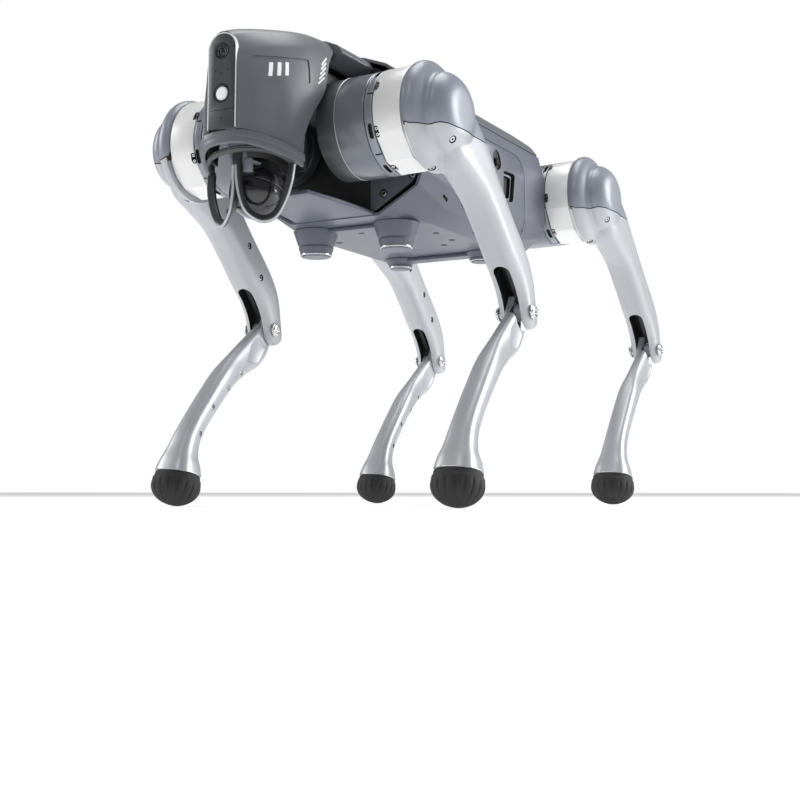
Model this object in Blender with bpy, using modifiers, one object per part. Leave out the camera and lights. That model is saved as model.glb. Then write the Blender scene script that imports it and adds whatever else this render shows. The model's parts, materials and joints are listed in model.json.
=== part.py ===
"""Quadruped robot dog, standing: a trunk with a head, and four legs with three driven joints each.

Metres, +X forward, +Y to the robot's left, +Z up. The origin is on the floor under the middle of the
robot's overall box. Trunk pieces are drawn about the trunk's centre, level with the hip axes, and every
leg piece is drawn about its own joint.
"""

import math

import bmesh
import bpy
from mathutils import Matrix, Vector

# Legs: joint places and the standing pose.
HIP_X = 0.1934  # hip swing axis to the trunk's centre, along the body
HIP_Y = 0.0465  # hip swing axis to the middle plane
THIGH_OFFSET = 0.0955  # thigh plane outboard of the hip swing axis
LIMB = 0.213  # thigh and shank pivot lengths
FOOT_RADIUS = 0.0235
SOLE_DEPTH = 0.0185  # lowest point of the boot below the foot's pivot, standing
SPLAY = math.radians(1.2)
THIGH_PITCH = math.radians(42.2)
KNEE_BEND = math.radians(-82.1)
SHANK_PITCH = THIGH_PITCH + KNEE_BEND
KNEE_DROP = LIMB * math.cos(THIGH_PITCH)
FOOT_DROP = KNEE_DROP + LIMB * math.cos(SHANK_PITCH)
HIP_HEIGHT = FOOT_DROP * math.cos(SPLAY) - THIGH_OFFSET * math.sin(SPLAY) + SOLE_DEPTH
BODY_X = 0.0134  # trunk centre ahead of the middle of the overall box

# Hip bracket and motors.
GAP = 0.0003
FLAT_ANGLE = 0.0005  # radians between faces that count as one flat face
DRUM_RADIUS = 0.0465
BAND_RADIUS = 0.047
BAND_START = 0.0345  # from the hip swing axis, outboard
BAND_END = THIGH_OFFSET - 0.0310
HUB_RADIUS = 0.0335
BRACKET_REACH = 0.0470
SHAFT_RADIUS = 0.008
FLANGE_RADIUS = 0.0100  # the thigh's hub, which turns in the thigh motor
FLANGE_BORE = 0.0108
MOTOR_RADIUS = 0.0425
MOTOR_FRONT = 0.1409
MOTOR_BACK = 0.0930
BULKHEAD_IN = 0.1415
BULKHEAD_OUT = 0.1445

# Thigh, in its own frame: x across the limb (front positive), y outboard, z up along the limb.
HEAD_INNER = -0.0307
HEAD_OUTER = 0.0165
CAVITY_RADIUS = 0.0340
CAVITY_INNER = -0.0245
CAVITY_OUTER = 0.0080
WALL_DISC_RADIUS = 0.0400
FORK_HALF_GAP = 0.0080
FORK_TOP = -0.158
FORK_BACK = -0.0178
CAP_PLANE = -0.004  # parting plane of the shoulder cap, along the standing robot's up axis
AXLE_RADIUS = 0.0045
AXLE_REACH = 0.0199
BOLT_HEAD_RADIUS = 0.0072

# Knee drive: the crank, the rod and the knee lever make a parallelogram.
LEVER = 0.0130
LEVER_LEAN = math.radians(-5.0)  # lever direction from straight up when standing, forward positive
BOSS_RADIUS = 0.0042
PIN_RADIUS = 0.0022
ROD_HALF_WIDTH = 0.0022
ROD_INNER = 0.0005
ROD_OUTER = 0.0055
LEVER_INNER = -0.0072
LEVER_OUTER = -0.0004

# Shank and foot.
KNUCKLE_RADIUS = 0.0115
SLIM_HALF_WIDTH = 0.0073
BOOT_LEAN = math.radians(12.0)  # boot axis from straight down when standing, forward positive
BOOT_TOP = 0.0125

# Trunk.
TUB_HALF_LENGTH = 0.1450
TUB_LOW = -0.0688
TUB_LOW_REAR = -0.0590
TUB_CORNER = 0.0130  # flank's lower edge above the floor
FLOOR_HALF = 0.0720
HOLLOW_REACH = 1.03  # the tub's hollow is drawn this much longer, to leave both ends open
TUB_RISE_X = -0.0950  # the tub's floor rises from here to the rear
# The tub's rings: x, lowest height, half width of the floor, and where the side's flank ends.
TUB_RINGS = (
    (-TUB_HALF_LENGTH, TUB_LOW_REAR, FLOOR_HALF, -0.0355),
    (TUB_RISE_X, TUB_LOW, FLOOR_HALF, -0.0355),
    (0.0850, TUB_LOW, FLOOR_HALF, -0.0355),
    (TUB_HALF_LENGTH, TUB_LOW, 0.0480, -0.0300),
)
# The tub's tongues: x, half width, lower and upper height.
FRONT_TONGUE = (
    (0.1300, 0.0440, -0.0682, -0.0651),
    (0.1470, 0.0430, -0.0678, -0.0646),
    (0.1600, 0.0410, -0.0672, -0.0634),
    (0.1934, 0.0370, -0.0660, -0.0620),
    (0.2400, 0.0300, -0.0650, -0.0610),
)
REAR_TONGUE = (
    (-0.1300, 0.0180, -0.0622, -0.0580),
    (-0.1600, 0.0180, -0.0560, -0.0515),
    (-0.2000, 0.0180, -0.0490, -0.0445),
    (-0.2525, 0.0180, -0.0385, -0.0342),
)
NECK_FRONT = 0.2030
TAIL_END = -0.2620
BATTERY_BACK = -0.0900
BATTERY_FRONT = 0.0050
BATTERY_LOW = -0.0640
BATTERY_HIGH = 0.0320
LIDAR_CENTRE = (0.2740, 0.0, -0.0665)
LIDAR_TILT = math.radians(18.0)
RING_HALF_WIDTH = 0.0420
RING_REAR_X = 0.2800
RING_REAR_Z = -0.0538
RING_FRONT_X = 0.3115
RING_FRONT_Z = -0.0420
# The left guard hoop, from the ring's front round to its rear end.
HOOP = (
    (0.3105, 0.0012, -0.0406),
    (0.3100, 0.0012, -0.0560),
    (0.3088, 0.0018, -0.0720),
    (0.3060, 0.0050, -0.0850),
    (0.3005, 0.0115, -0.0935),
    (0.2935, 0.0200, -0.0965),
    (0.2875, 0.0290, -0.0930),
    (0.2840, 0.0360, -0.0835),
    (0.2825, 0.0405, -0.0700),
    (0.2812, 0.0418, -0.0550),
)

# Colour, roughness and metallic value of each finish.
FINISHES = {
    "silver_casting": ((0.62, 0.64, 0.67), 0.42, 0.55),
    "motor_silver": ((0.80, 0.80, 0.79), 0.38, 0.60),
    "blue_grey_plastic": ((0.28, 0.31, 0.36), 0.45, 0.0),
    "slate_plastic": ((0.16, 0.18, 0.21), 0.42, 0.0),
    "dark_casting": ((0.12, 0.13, 0.15), 0.40, 0.4),
    "frame_black": ((0.03, 0.03, 0.035), 0.50, 0.2),
    "rubber_black": ((0.02, 0.02, 0.02), 0.85, 0.0),
    "gloss_black": ((0.015, 0.015, 0.018), 0.15, 0.0),
    "lamp_white": ((0.90, 0.92, 0.88), 0.20, 0.0),
    "steel": ((0.55, 0.55, 0.56), 0.30, 1.0),
    "board_green": ((0.03, 0.18, 0.08), 0.55, 0.0),
}

AXIS_TURNS = {
    "X": Matrix(((0, 0, 1), (1, 0, 0), (0, 1, 0))).to_4x4(),
    "Y": Matrix(((0, 1, 0), (0, 0, 1), (1, 0, 0))).to_4x4(),
    "Z": Matrix.Identity(4),
}


def clear_scene():
    for obj in list(bpy.data.objects):
        bpy.data.objects.remove(obj)


def new_collection(name):
    collection = bpy.data.collections.new(name)
    bpy.context.scene.collection.children.link(collection)
    return collection


def make_finishes():
    materials = {}
    for name, (colour, roughness, metallic) in FINISHES.items():
        material = bpy.data.materials.new(name)
        material.use_nodes = True
        shader = material.node_tree.nodes["Principled BSDF"]
        shader.inputs["Base Color"].default_value = (*colour, 1.0)
        shader.inputs["Roughness"].default_value = roughness
        shader.inputs["Metallic"].default_value = metallic
        materials[name] = material
    return materials


clear_scene()
ROBOT = new_collection("quadruped_robot_dog")
CUTTERS = new_collection("cutters")
CUTTERS.hide_render = True
MATERIALS = make_finishes()


# Shape tools. Each one returns an object in the cutters collection, with its mesh in place.


def workpiece(mesh):
    obj = bpy.data.objects.new("workpiece", mesh)
    obj.hide_render = True
    obj.display_type = "WIRE"
    CUTTERS.objects.link(obj)
    return obj


def tidy_mesh(mesh, transform):
    """Welds loose caps and seams, turns the faces outwards and moves the mesh into place."""
    bm = bmesh.new()
    bm.from_mesh(mesh)
    bmesh.ops.remove_doubles(bm, verts=bm.verts, dist=0.000005)
    bmesh.ops.recalc_face_normals(bm, faces=bm.faces)
    merge_flat_faces(bm)
    bmesh.ops.transform(bm, matrix=transform, verts=bm.verts)
    bm.to_mesh(mesh)
    bm.free()
    return mesh


def merge_flat_faces(bm):
    bmesh.ops.dissolve_limit(bm, angle_limit=FLAT_ANGLE, verts=bm.verts, edges=bm.edges)


def evaluated_mesh(obj):
    bpy.context.view_layer.update()
    graph = bpy.context.evaluated_depsgraph_get()
    return bpy.data.meshes.new_from_object(obj.evaluated_get(graph))


def block(low, high):
    low, high = Vector(low), Vector(high)
    bm = bmesh.new()
    bmesh.ops.create_cube(bm, size=1.0)
    bmesh.ops.scale(bm, vec=high - low, verts=bm.verts)
    bmesh.ops.translate(bm, vec=(low + high) / 2, verts=bm.verts)
    mesh = bpy.data.meshes.new("block")
    bm.to_mesh(mesh)
    bm.free()
    return workpiece(mesh)


def cylinder(axis, start, end, radius, centre=(0, 0), segments=12, end_radius=None):
    """A round bar or cone along an axis. centre is its place on the other two axes, in X, Y, Z order."""
    bm = bmesh.new()
    last = radius if end_radius is None else end_radius
    bmesh.ops.create_cone(
        bm, cap_ends=True, segments=segments, radius1=radius, radius2=last, depth=end - start
    )
    bmesh.ops.translate(bm, vec=(0, 0, (start + end) / 2), verts=bm.verts)
    bmesh.ops.transform(bm, matrix=AXIS_TURNS[axis], verts=bm.verts)
    places = {"X": (0, *centre), "Y": (centre[0], 0, centre[1]), "Z": (*centre, 0)}
    bmesh.ops.translate(bm, vec=places[axis], verts=bm.verts)
    mesh = bpy.data.meshes.new("cylinder")
    bm.to_mesh(mesh)
    bm.free()
    return workpiece(mesh)


def turned(axis, profile, segments=20):
    """A turned solid. profile lists (radius, height) down its outer side, from the top to the bottom."""
    mesh = bpy.data.meshes.new("turned")
    points = [(radius, 0.0, height) for radius, height in profile]
    edges = [(index, index + 1) for index in range(len(points) - 1)]
    mesh.from_pydata(points, edges, [])
    obj = workpiece(mesh)
    screw = obj.modifiers.new("turn", "SCREW")
    screw.axis = "Z"
    screw.angle = math.tau
    screw.steps = segments
    screw.render_steps = segments
    screw.use_merge_vertices = True
    screw.merge_threshold = 0.00001
    solid = tidy_mesh(evaluated_mesh(obj), AXIS_TURNS[axis])
    bpy.data.objects.remove(obj)
    return workpiece(solid)


def plate(axis, outline, start, end):
    """A flat outline, made thick along an axis. The outline's points are (Y, Z), (X, Z) or (X, Y)."""
    curve = bpy.data.curves.new("plate", "CURVE")
    curve.dimensions = "2D"
    curve.fill_mode = "BOTH"
    curve.extrude = (end - start) / 2
    spline = curve.splines.new("POLY")
    spline.points.add(len(outline) - 1)
    for point, (across, up) in zip(spline.points, outline):
        place = (up, across) if axis == "Y" else (across, up)
        point.co = (*place, 0, 1)
    spline.use_cyclic_u = True
    obj = bpy.data.objects.new("plate", curve)
    CUTTERS.objects.link(obj)
    middle = Matrix.Translation((0, 0, (start + end) / 2))
    solid = tidy_mesh(evaluated_mesh(obj), AXIS_TURNS[axis] @ middle)
    bpy.data.objects.remove(obj)
    return workpiece(solid)


def tube(points, radius, sides=1):
    """A round bar along a line of points, with closed ends."""
    curve = bpy.data.curves.new("tube", "CURVE")
    curve.dimensions = "3D"
    curve.bevel_depth = radius
    curve.bevel_resolution = sides
    curve.use_fill_caps = True
    spline = curve.splines.new("POLY")
    spline.points.add(len(points) - 1)
    for point, place in zip(spline.points, points):
        point.co = (*place, 1)
    obj = bpy.data.objects.new("tube", curve)
    CUTTERS.objects.link(obj)
    solid = tidy_mesh(evaluated_mesh(obj), Matrix.Identity(4))
    bpy.data.objects.remove(obj)
    return workpiece(solid)


def loft(rings):
    """A closed solid through rings of points, with flat ends."""
    bm = bmesh.new()
    rows = [[bm.verts.new(point) for point in ring] for ring in rings]
    count = len(rows[0])
    for row, following in zip(rows, rows[1:]):
        for index in range(count):
            after = (index + 1) % count
            bm.faces.new((row[index], row[after], following[after], following[index]))
    bm.faces.new(rows[0])
    bm.faces.new(rows[-1])
    bmesh.ops.connect_verts_nonplanar(bm, angle_limit=FLAT_ANGLE, faces=bm.faces)
    bmesh.ops.recalc_face_normals(bm, faces=bm.faces)
    mesh = bpy.data.meshes.new("loft")
    bm.to_mesh(mesh)
    bm.free()
    return workpiece(mesh)


def link_plate(start, end, radius_start, radius_end, inner, outer, segments=12):
    """A flat link along Y round two centres (x, z): the outline that a belt round both would have."""
    bm = bmesh.new()
    for (x, z), radius in ((start, radius_start), (end, radius_end)):
        for side in (inner, outer):
            for index in range(segments):
                angle = math.tau * index / segments
                bm.verts.new((x + radius * math.cos(angle), side, z + radius * math.sin(angle)))
    bmesh.ops.convex_hull(bm, input=bm.verts)
    merge_flat_faces(bm)
    bmesh.ops.recalc_face_normals(bm, faces=bm.faces)
    mesh = bpy.data.meshes.new("link")
    bm.to_mesh(mesh)
    bm.free()
    return workpiece(mesh)


def combine(body, tool, operation):
    boolean = body.modifiers.new(operation, "BOOLEAN")
    boolean.operation = operation
    boolean.object = tool
    mesh = evaluated_mesh(body)
    bm = bmesh.new()
    bm.from_mesh(mesh)
    merge_flat_faces(bm)
    bm.to_mesh(mesh)
    bm.free()
    bpy.data.objects.remove(body)
    bpy.data.objects.remove(tool)
    return workpiece(mesh)


def join(body, *tools):
    for tool in tools:
        body = combine(body, tool, "UNION")
    return body


def cut(body, *tools):
    for tool in tools:
        body = combine(body, tool, "DIFFERENCE")
    return body


def superellipse(half_a, half_b, power, count):
    """Points of a rounded rectangle about its centre, as (a, b) pairs."""
    points = []
    for index in range(count):
        angle = math.tau * (index + 0.5) / count
        cosine, sine = math.cos(angle), math.sin(angle)
        a = half_a * math.copysign(abs(cosine) ** (2 / power), cosine)
        b = half_b * math.copysign(abs(sine) ** (2 / power), sine)
        points.append((a, b))
    return points


# Placing.


def empty(name, parent, location, rotation=(0, 0, 0)):
    frame = bpy.data.objects.new(name, None)
    frame.empty_display_size = 0.02
    frame.location = location
    frame.rotation_euler = rotation
    frame.parent = parent
    ROBOT.objects.link(frame)
    return frame


def place(name, mesh, finish, parent):
    """Makes the node: one named object that holds the mesh, under its joint's empty."""
    obj = bpy.data.objects.new(name, mesh)
    obj.parent = parent
    ROBOT.objects.link(obj)
    mesh.materials.clear()
    mesh.materials.append(MATERIALS[finish])
    mesh.shade_smooth()
    mesh.set_sharp_from_angle(angle=math.radians(35))
    return obj


def taken_mesh(piece):
    """The finished mesh of a workpiece, whose object is removed."""
    mesh = evaluated_mesh(piece)
    bpy.data.objects.remove(piece)
    return mesh


def mirrored(mesh, x_sign, y_sign):
    copy = mesh.copy()
    if x_sign * y_sign == 1 and x_sign == 1:
        return copy
    copy.transform(Matrix.Diagonal((x_sign, y_sign, 1, 1)))
    if x_sign * y_sign == -1:
        copy.flip_normals()
    return copy


# Leg pieces, for the front left leg.


def lever_place(pitch):
    """The lever's end about its pivot, as (x, z) in a limb pitched by this much when standing."""
    angle = LEVER_LEAN - pitch
    return LEVER * math.sin(angle), LEVER * math.cos(angle)


def hip_motor():
    body = turned(
        "X",
        [
            (0.0, MOTOR_FRONT),
            (0.030, MOTOR_FRONT),
            (MOTOR_RADIUS, MOTOR_FRONT - 0.004),
            (MOTOR_RADIUS, MOTOR_BACK + 0.004),
            (0.034, MOTOR_BACK),
            (0.0, MOTOR_BACK),
        ],
        16,
    )
    bore = cylinder("X", MOTOR_FRONT - 0.008, MOTOR_FRONT + 0.01, SHAFT_RADIUS + GAP)
    return cut(body, bore)


def hip_bracket():
    drum = turned(
        "Y",
        [
            (0.0, 0.0340),
            (DRUM_RADIUS - 0.0008, 0.0340),
            (DRUM_RADIUS, 0.0332),
            (DRUM_RADIUS, 0.0220),
            (0.0445, 0.0190),
            (0.0445, -0.0090),
            (0.0405, -0.0120),
            (0.0, -0.0120),
        ],
        24,
    )
    hub = cylinder("X", -BRACKET_REACH, -0.005, HUB_RADIUS, segments=20)
    shaft_end = MOTOR_FRONT - 0.006 - HIP_X
    shaft = cylinder("X", shaft_end, -0.030, SHAFT_RADIUS)
    bore = cylinder("Y", 0.020, 0.040, FLANGE_BORE)
    return cut(join(drum, hub, shaft), bore)


def thigh_motor():
    chamfer = 0.0008
    body = turned(
        "Y",
        [
            (0.0, BAND_END),
            (BAND_RADIUS - chamfer, BAND_END),
            (BAND_RADIUS, BAND_END - chamfer),
            (BAND_RADIUS, BAND_START + chamfer),
            (BAND_RADIUS - chamfer, BAND_START),
            (0.0, BAND_START),
        ],
        24,
    )
    bore = cylinder("Y", BAND_START - 0.01, BAND_END + 0.01, FLANGE_BORE)
    return cut(body, bore)


def thigh_beam():
    """The limb from the head to the fork's tip. Stations: height, back, front and half width."""
    stations = [
        (0.000, -0.0300, 0.0300, 0.0160),
        (-0.030, -0.0350, 0.0300, 0.0161),
        (-0.055, -0.0355, 0.0190, 0.0161),
        (-0.085, -0.0342, 0.0075, 0.0160),
        (-0.120, -0.0350, 0.0040, 0.0159),
        (-0.150, -0.0380, 0.0032, 0.0160),
        (-0.175, -0.0375, 0.0010, 0.0162),
        (-0.195, -0.0315, 0.0035, 0.0162),
        (-0.213, -0.0215, 0.0112, 0.0158),
        (-0.222, -0.0168, 0.0110, 0.0155),
        (-0.228, -0.0118, 0.0078, 0.0152),
        (-0.2305, -0.0060, 0.0036, 0.0150),
    ]
    rings = []
    for height, back, front, half_width in stations:
        middle = (back + front) / 2
        ring = superellipse((front - back) / 2, half_width, 2.7, 12)
        rings.append([(middle + across, out, height) for across, out in ring])
    return loft(rings)


def thigh_head():
    return turned(
        "Y",
        [
            (0.0, HEAD_OUTER),
            (0.0270, HEAD_OUTER),
            (0.0345, 0.0145),
            (0.0395, 0.0090),
            (0.0425, 0.0010),
            (0.0435, -0.0060),
            (0.0465, -0.0140),
            (0.0470, HEAD_INNER + 0.001),
            (0.0462, HEAD_INNER),
            (0.0, HEAD_INNER),
        ],
        24,
    )


def half_space(above):
    """A block on one side of the shoulder cap's parting plane, drawn in the thigh's frame."""
    low, high = (CAP_PLANE - GAP / 2, 0.1) if above else (-0.3, CAP_PLANE + GAP / 2)
    piece = block((-0.2, -0.2, low), (0.2, 0.2, high))
    piece.data.transform(Matrix.Rotation(-THIGH_PITCH, 4, "Y"))
    return piece


def cavity(extra=0.0):
    return cylinder("Y", CAVITY_INNER, CAVITY_OUTER, CAVITY_RADIUS + extra, segments=20)


def fork_cutters():
    """The slot that the shank folds into, open at the front and round the prong tips, and the axle hole."""
    tips_top = -LIMB + 0.004
    outline = [
        (FORK_BACK, FORK_TOP), (0.06, FORK_TOP), (0.06, -0.25), (-0.06, -0.25), (-0.06, tips_top),
        (FORK_BACK, tips_top),
    ]
    slot = plate("Y", outline, -FORK_HALF_GAP, FORK_HALF_GAP)
    hole = cylinder("Y", -0.03, 0.03, AXLE_RADIUS + GAP, centre=(0, -LIMB), segments=10)
    return slot, hole


def thigh_casting():
    return cut(join(thigh_beam(), thigh_head()), half_space(True))


def thigh_shell():
    inner_half = block((-0.2, -0.2, -0.3), (0.2, GAP / 2, 0.2))
    channel = block((-0.0158, -0.01, FORK_TOP - 0.01), (0.0004, 0.0066, -0.015))
    return cut(thigh_casting(), inner_half, cavity(), channel, *fork_cutters())


def thigh_cover():
    outer_half = block((-0.2, -GAP / 2, -0.3), (0.2, 0.2, 0.2))
    body = cut(thigh_casting(), outer_half, cavity(), *fork_cutters())
    step = 0.0003  # keeps the disc's faces off the casting's own
    disc = cylinder("Y", HEAD_INNER + step, CAVITY_INNER - step, WALL_DISC_RADIUS, segments=20)
    hub_end = BAND_START - THIGH_OFFSET + 0.002
    hub = cylinder("Y", hub_end, HEAD_INNER + 0.003, FLANGE_RADIUS)
    stub_hole = cylinder("Y", -0.0290, 0.0, 0.0040 + GAP)
    return cut(join(body, disc, hub), stub_hole)


def shoulder_cap():
    wall_clearance = cylinder(
        "Y", HEAD_INNER - 0.01, CAVITY_INNER + GAP, WALL_DISC_RADIUS + GAP, segments=20
    )
    return cut(thigh_head(), half_space(False), cavity(0.0003), wall_clearance)


def knee_crank():
    rotor = turned(
        "Y",
        [
            (0.0, LEVER_OUTER),
            (0.0300, LEVER_OUTER),
            (0.0325, -0.0030),
            (0.0325, -0.0235),
            (0.0, -0.0235),
        ],
        16,
    )
    stub = cylinder("Y", -0.0285, -0.0200, 0.0040, segments=12)
    pin = cylinder("Y", -0.0030, ROD_OUTER + 0.0005, PIN_RADIUS, lever_place(THIGH_PITCH), 10)
    return join(rotor, stub, pin)


def push_rod():
    """Drawn about its upper pin."""
    low = (0.0, -LIMB)
    bar = block((-ROD_HALF_WIDTH, ROD_INNER, -LIMB), (ROD_HALF_WIDTH, ROD_OUTER, 0.0))
    for centre in ((0.0, 0.0), low):
        bar = join(bar, cylinder("Y", ROD_INNER - 0.0001, ROD_OUTER + 0.0001, BOSS_RADIUS, centre))
    for centre in ((0.0, 0.0), low):
        bar = cut(bar, cylinder("Y", -0.01, 0.02, PIN_RADIUS + GAP, centre, 10))
    return bar


def knee_axle():
    shaft = cylinder("Y", -AXLE_REACH + 0.001, AXLE_REACH - 0.001, AXLE_RADIUS)
    inner_head = cylinder("Y", -AXLE_REACH, -0.0162, BOLT_HEAD_RADIUS, segments=12)
    outer_head = cylinder("Y", 0.0162, AXLE_REACH, BOLT_HEAD_RADIUS, segments=12)
    return join(shaft, inner_head, outer_head)


def boot_axis():
    """The boot's axis, pointing down, as (x, z) in the shank's frame."""
    angle = BOOT_LEAN + SHANK_PITCH
    return math.sin(angle), -math.cos(angle)


def shank_rings():
    """The S-shaped limb. Stations: centre x, z, half depth and half width."""
    down_x, down_z = boot_axis()
    top_x, top_z = -down_x * (BOOT_TOP + 0.0004), -LIMB - down_z * (BOOT_TOP + 0.0004)
    stations = [
        (-0.0010, 0.0000, 0.0115, SLIM_HALF_WIDTH),
        (-0.0025, -0.0150, 0.0160, SLIM_HALF_WIDTH),
        (0.0005, -0.0350, 0.0178, SLIM_HALF_WIDTH),
        (0.0090, -0.0600, 0.0150, 0.0074),
        (0.0160, -0.0870, 0.0126, 0.0104),
        (0.0188, -0.1200, 0.0114, 0.0110),
        (0.0198, -0.1480, 0.0110, 0.0112),
        (0.0185, -0.1680, 0.0118, 0.0120),
        (0.0145, -0.1830, 0.0140, 0.0142),
        (top_x + 0.0042, top_z + 0.0085, 0.0176, 0.0178),
        (top_x, top_z, 0.0200, 0.0200),
    ]
    leans = [0.0, 0.0, 0.0, 0.0, 0.0, 0.0, 0.0, 0.25, 0.62, 0.9, 1.0]
    tilt = math.atan2(down_x, -down_z)
    rings = []
    for (x, z, half_depth, half_width), lean in zip(stations, leans):
        turn = tilt * lean
        ring = superellipse(half_depth, half_width, 2.4, 12)
        rings.append(
            [(x + across * math.cos(turn), out, z + across * math.sin(turn)) for across, out in ring]
        )
    return rings


def shank():
    relief = cylinder("Y", 0.0001, 0.03, LEVER + BOSS_RADIUS + 0.0008, segments=24)
    body = cut(loft(shank_rings()), relief)
    disc = cylinder("Y", -0.00725, SLIM_HALF_WIDTH - 0.0001, 0.0083, segments=12)
    lever_end = lever_place(SHANK_PITCH)
    lever = link_plate((0, 0), lever_end, KNUCKLE_RADIUS, BOSS_RADIUS, LEVER_INNER, LEVER_OUTER)
    pin = cylinder("Y", -0.0030, ROD_OUTER + 0.0005, PIN_RADIUS, lever_end, 10)
    peg = cylinder("Z", BOOT_TOP - 0.0062, BOOT_TOP + 0.0060, 0.0090)
    peg.data.transform(boot_placement(*boot_axis()))
    hole = cylinder("Y", -0.03, 0.03, AXLE_RADIUS + GAP)
    return cut(join(body, disc, lever, pin, peg), hole)


def boot_placement(down_x, down_z):
    """From a frame whose -Z is the boot's axis, about the foot's centre, to the shank's frame."""
    turn = math.atan2(-down_x, -down_z)
    return Matrix.Translation((0, 0, -LIMB)) @ Matrix.Rotation(turn, 4, "Y")


def foot():
    """Rubber boot: a flattened round sole and a straight cuff with a pocket for the peg."""
    depth = SOLE_DEPTH - 0.0001
    profile = [(0.0, BOOT_TOP), (0.0200, BOOT_TOP), (0.0215, BOOT_TOP - 0.0014), (0.0231, 0.0030)]
    for step in range(4):
        angle = math.radians(22.5) * step
        profile.append((FOOT_RADIUS * math.cos(angle), -depth * math.sin(angle)))
    profile.append((0.0, -depth))
    body = turned("Z", profile, 16)
    pocket = cylinder("Z", BOOT_TOP - 0.0070, BOOT_TOP + 0.01, 0.0090 + GAP)
    body = cut(body, pocket)
    body.data.transform(boot_placement(*boot_axis()))
    return body


def make_legs(trunk):
    meshes = {
        "hip_motor": (taken_mesh(hip_motor()), "dark_casting"),
        "hip_bracket": (taken_mesh(hip_bracket()), "dark_casting"),
        "thigh_motor": (taken_mesh(thigh_motor()), "motor_silver"),
        "thigh_shell": (taken_mesh(thigh_shell()), "silver_casting"),
        "thigh_cover": (taken_mesh(thigh_cover()), "silver_casting"),
        "shoulder_cap": (taken_mesh(shoulder_cap()), "blue_grey_plastic"),
        "knee_axle": (taken_mesh(knee_axle()), "steel"),
        "knee_crank": (taken_mesh(knee_crank()), "steel"),
        "push_rod": (taken_mesh(push_rod()), "frame_black"),
        "shank": (taken_mesh(shank()), "silver_casting"),
        "foot": (taken_mesh(foot()), "rubber_black"),
    }
    for prefix, end, side in (("fl", 1, 1), ("fr", 1, -1), ("rl", -1, 1), ("rr", -1, -1)):
        hip = empty(prefix + "_hip_axis", trunk, (end * HIP_X, side * HIP_Y, 0), (side * SPLAY, 0, 0))
        motor = empty(prefix + "_hip_motor_seat", trunk, (0, side * HIP_Y, 0))
        thigh = empty(prefix + "_thigh_axis", hip, (0, side * THIGH_OFFSET, 0), (0, THIGH_PITCH, 0))
        crank_x, crank_z = lever_place(THIGH_PITCH)
        crank = empty(prefix + "_crank_axis", thigh, (0, 0, 0))
        rod = empty(prefix + "_rod_axis", crank, (crank_x, 0, crank_z))
        knee = empty(prefix + "_knee_axis", thigh, (0, 0, -LIMB), (0, KNEE_BEND, 0))
        axle = empty(prefix + "_axle_seat", thigh, (0, 0, -LIMB))
        parents = {
            "hip_motor": motor,
            "hip_bracket": hip,
            "thigh_motor": hip,
            "thigh_shell": thigh,
            "thigh_cover": thigh,
            "shoulder_cap": thigh,
            "knee_axle": axle,
            "knee_crank": crank,
            "push_rod": rod,
            "shank": knee,
            "foot": knee,
        }
        for name, (mesh, finish) in meshes.items():
            # The hip motor and its bracket face the trunk, so they turn round at the rear.
            x_sign = end if name in ("hip_motor", "hip_bracket") else 1
            place(prefix + "_" + name, mirrored(mesh, x_sign, side), finish, parents[name])


# Trunk and head pieces, drawn about the trunk's centre.


def both_sides(half):
    """A closed (y, z) outline from the points of its left half, listed from the top down."""
    return half + [(-y, z) for y, z in reversed(half)]


def chassis_frame():
    frame = block((-0.2500, -0.0180, 0.0500), (0.2460, 0.0180, 0.0600))
    for end, (x, low, floor_half, flank) in ((1, TUB_RINGS[-1]), (-1, TUB_RINGS[0])):
        wall = both_sides(
            [(0.030, 0.0795), (0.050, 0.0700), (0.0745, 0.0530), (0.0830, 0.0430), (0.0905, 0.0100),
             (0.0905, flank + 0.0025), (0.0845, tub_corner(low, floor_half) + 0.0050),
             (floor_half - 0.0035, low + 0.0045)]
        )
        start, stop = sorted((end * BULKHEAD_IN, end * BULKHEAD_OUT))
        bulkhead = plate("X", wall, start, stop)
        for side in (1, -1):
            passage = cylinder("X", start - 0.01, stop + 0.01, 0.0125, centre=(side * HIP_Y, 0))
            bulkhead = cut(bulkhead, passage)
        frame = join(frame, bulkhead)
    nose_post = block((0.2422, -0.0300, -0.0460), (0.2462, 0.0300, 0.0598))
    tail_post = block((-0.2502, -0.0300, -0.0330), (-0.2440, 0.0300, 0.0598))
    return join(frame, nose_post, tail_post)


def tub_corner(low, floor_half):
    """Height of the flank's lower edge, which rises as the floor gets narrower."""
    return low + TUB_CORNER + (FLOOR_HALF - floor_half) * 0.45


def tub_outline(low, floor_half, flank):
    return both_sides(
        [(0.0885, 0.0462), (0.0935, 0.0250), (0.0950, 0.0100), (0.0950, flank),
         (0.0890, tub_corner(low, floor_half)), (floor_half, low)]
    )


def tub_hollow(low, floor_half, flank):
    return both_sides(
        [(0.0835, 0.0600), (0.0905, 0.0250), (0.0920, 0.0095), (0.0920, flank + 0.0006),
         (0.0863, tub_corner(low, floor_half) + 0.0018), (floor_half - 0.0013, low + 0.0030)]
    )


def belly_tub():
    """A shell whose floor rises at the rear, with a tongue under the hips at either end."""
    solid, hollow = [], []
    for x, *shape in TUB_RINGS:
        reach = HOLLOW_REACH if abs(x) == TUB_HALF_LENGTH else 1.0
        solid.append([(x, y, z) for y, z in tub_outline(*shape)])
        hollow.append([(x * reach, y, z) for y, z in tub_hollow(*shape)])
    tub = cut(loft(solid), loft(hollow))
    for tongue in (FRONT_TONGUE, REAR_TONGUE):
        rings = []
        for x, half_width, low, high in tongue:
            rings.append([(x, -half_width, low), (x, half_width, low), (x, half_width, high), (x, -half_width, high)])
        tub = join(tub, loft(rings))
    return cut(tub, battery_prism(0.0005, 0.0500, 0.1100))


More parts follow.
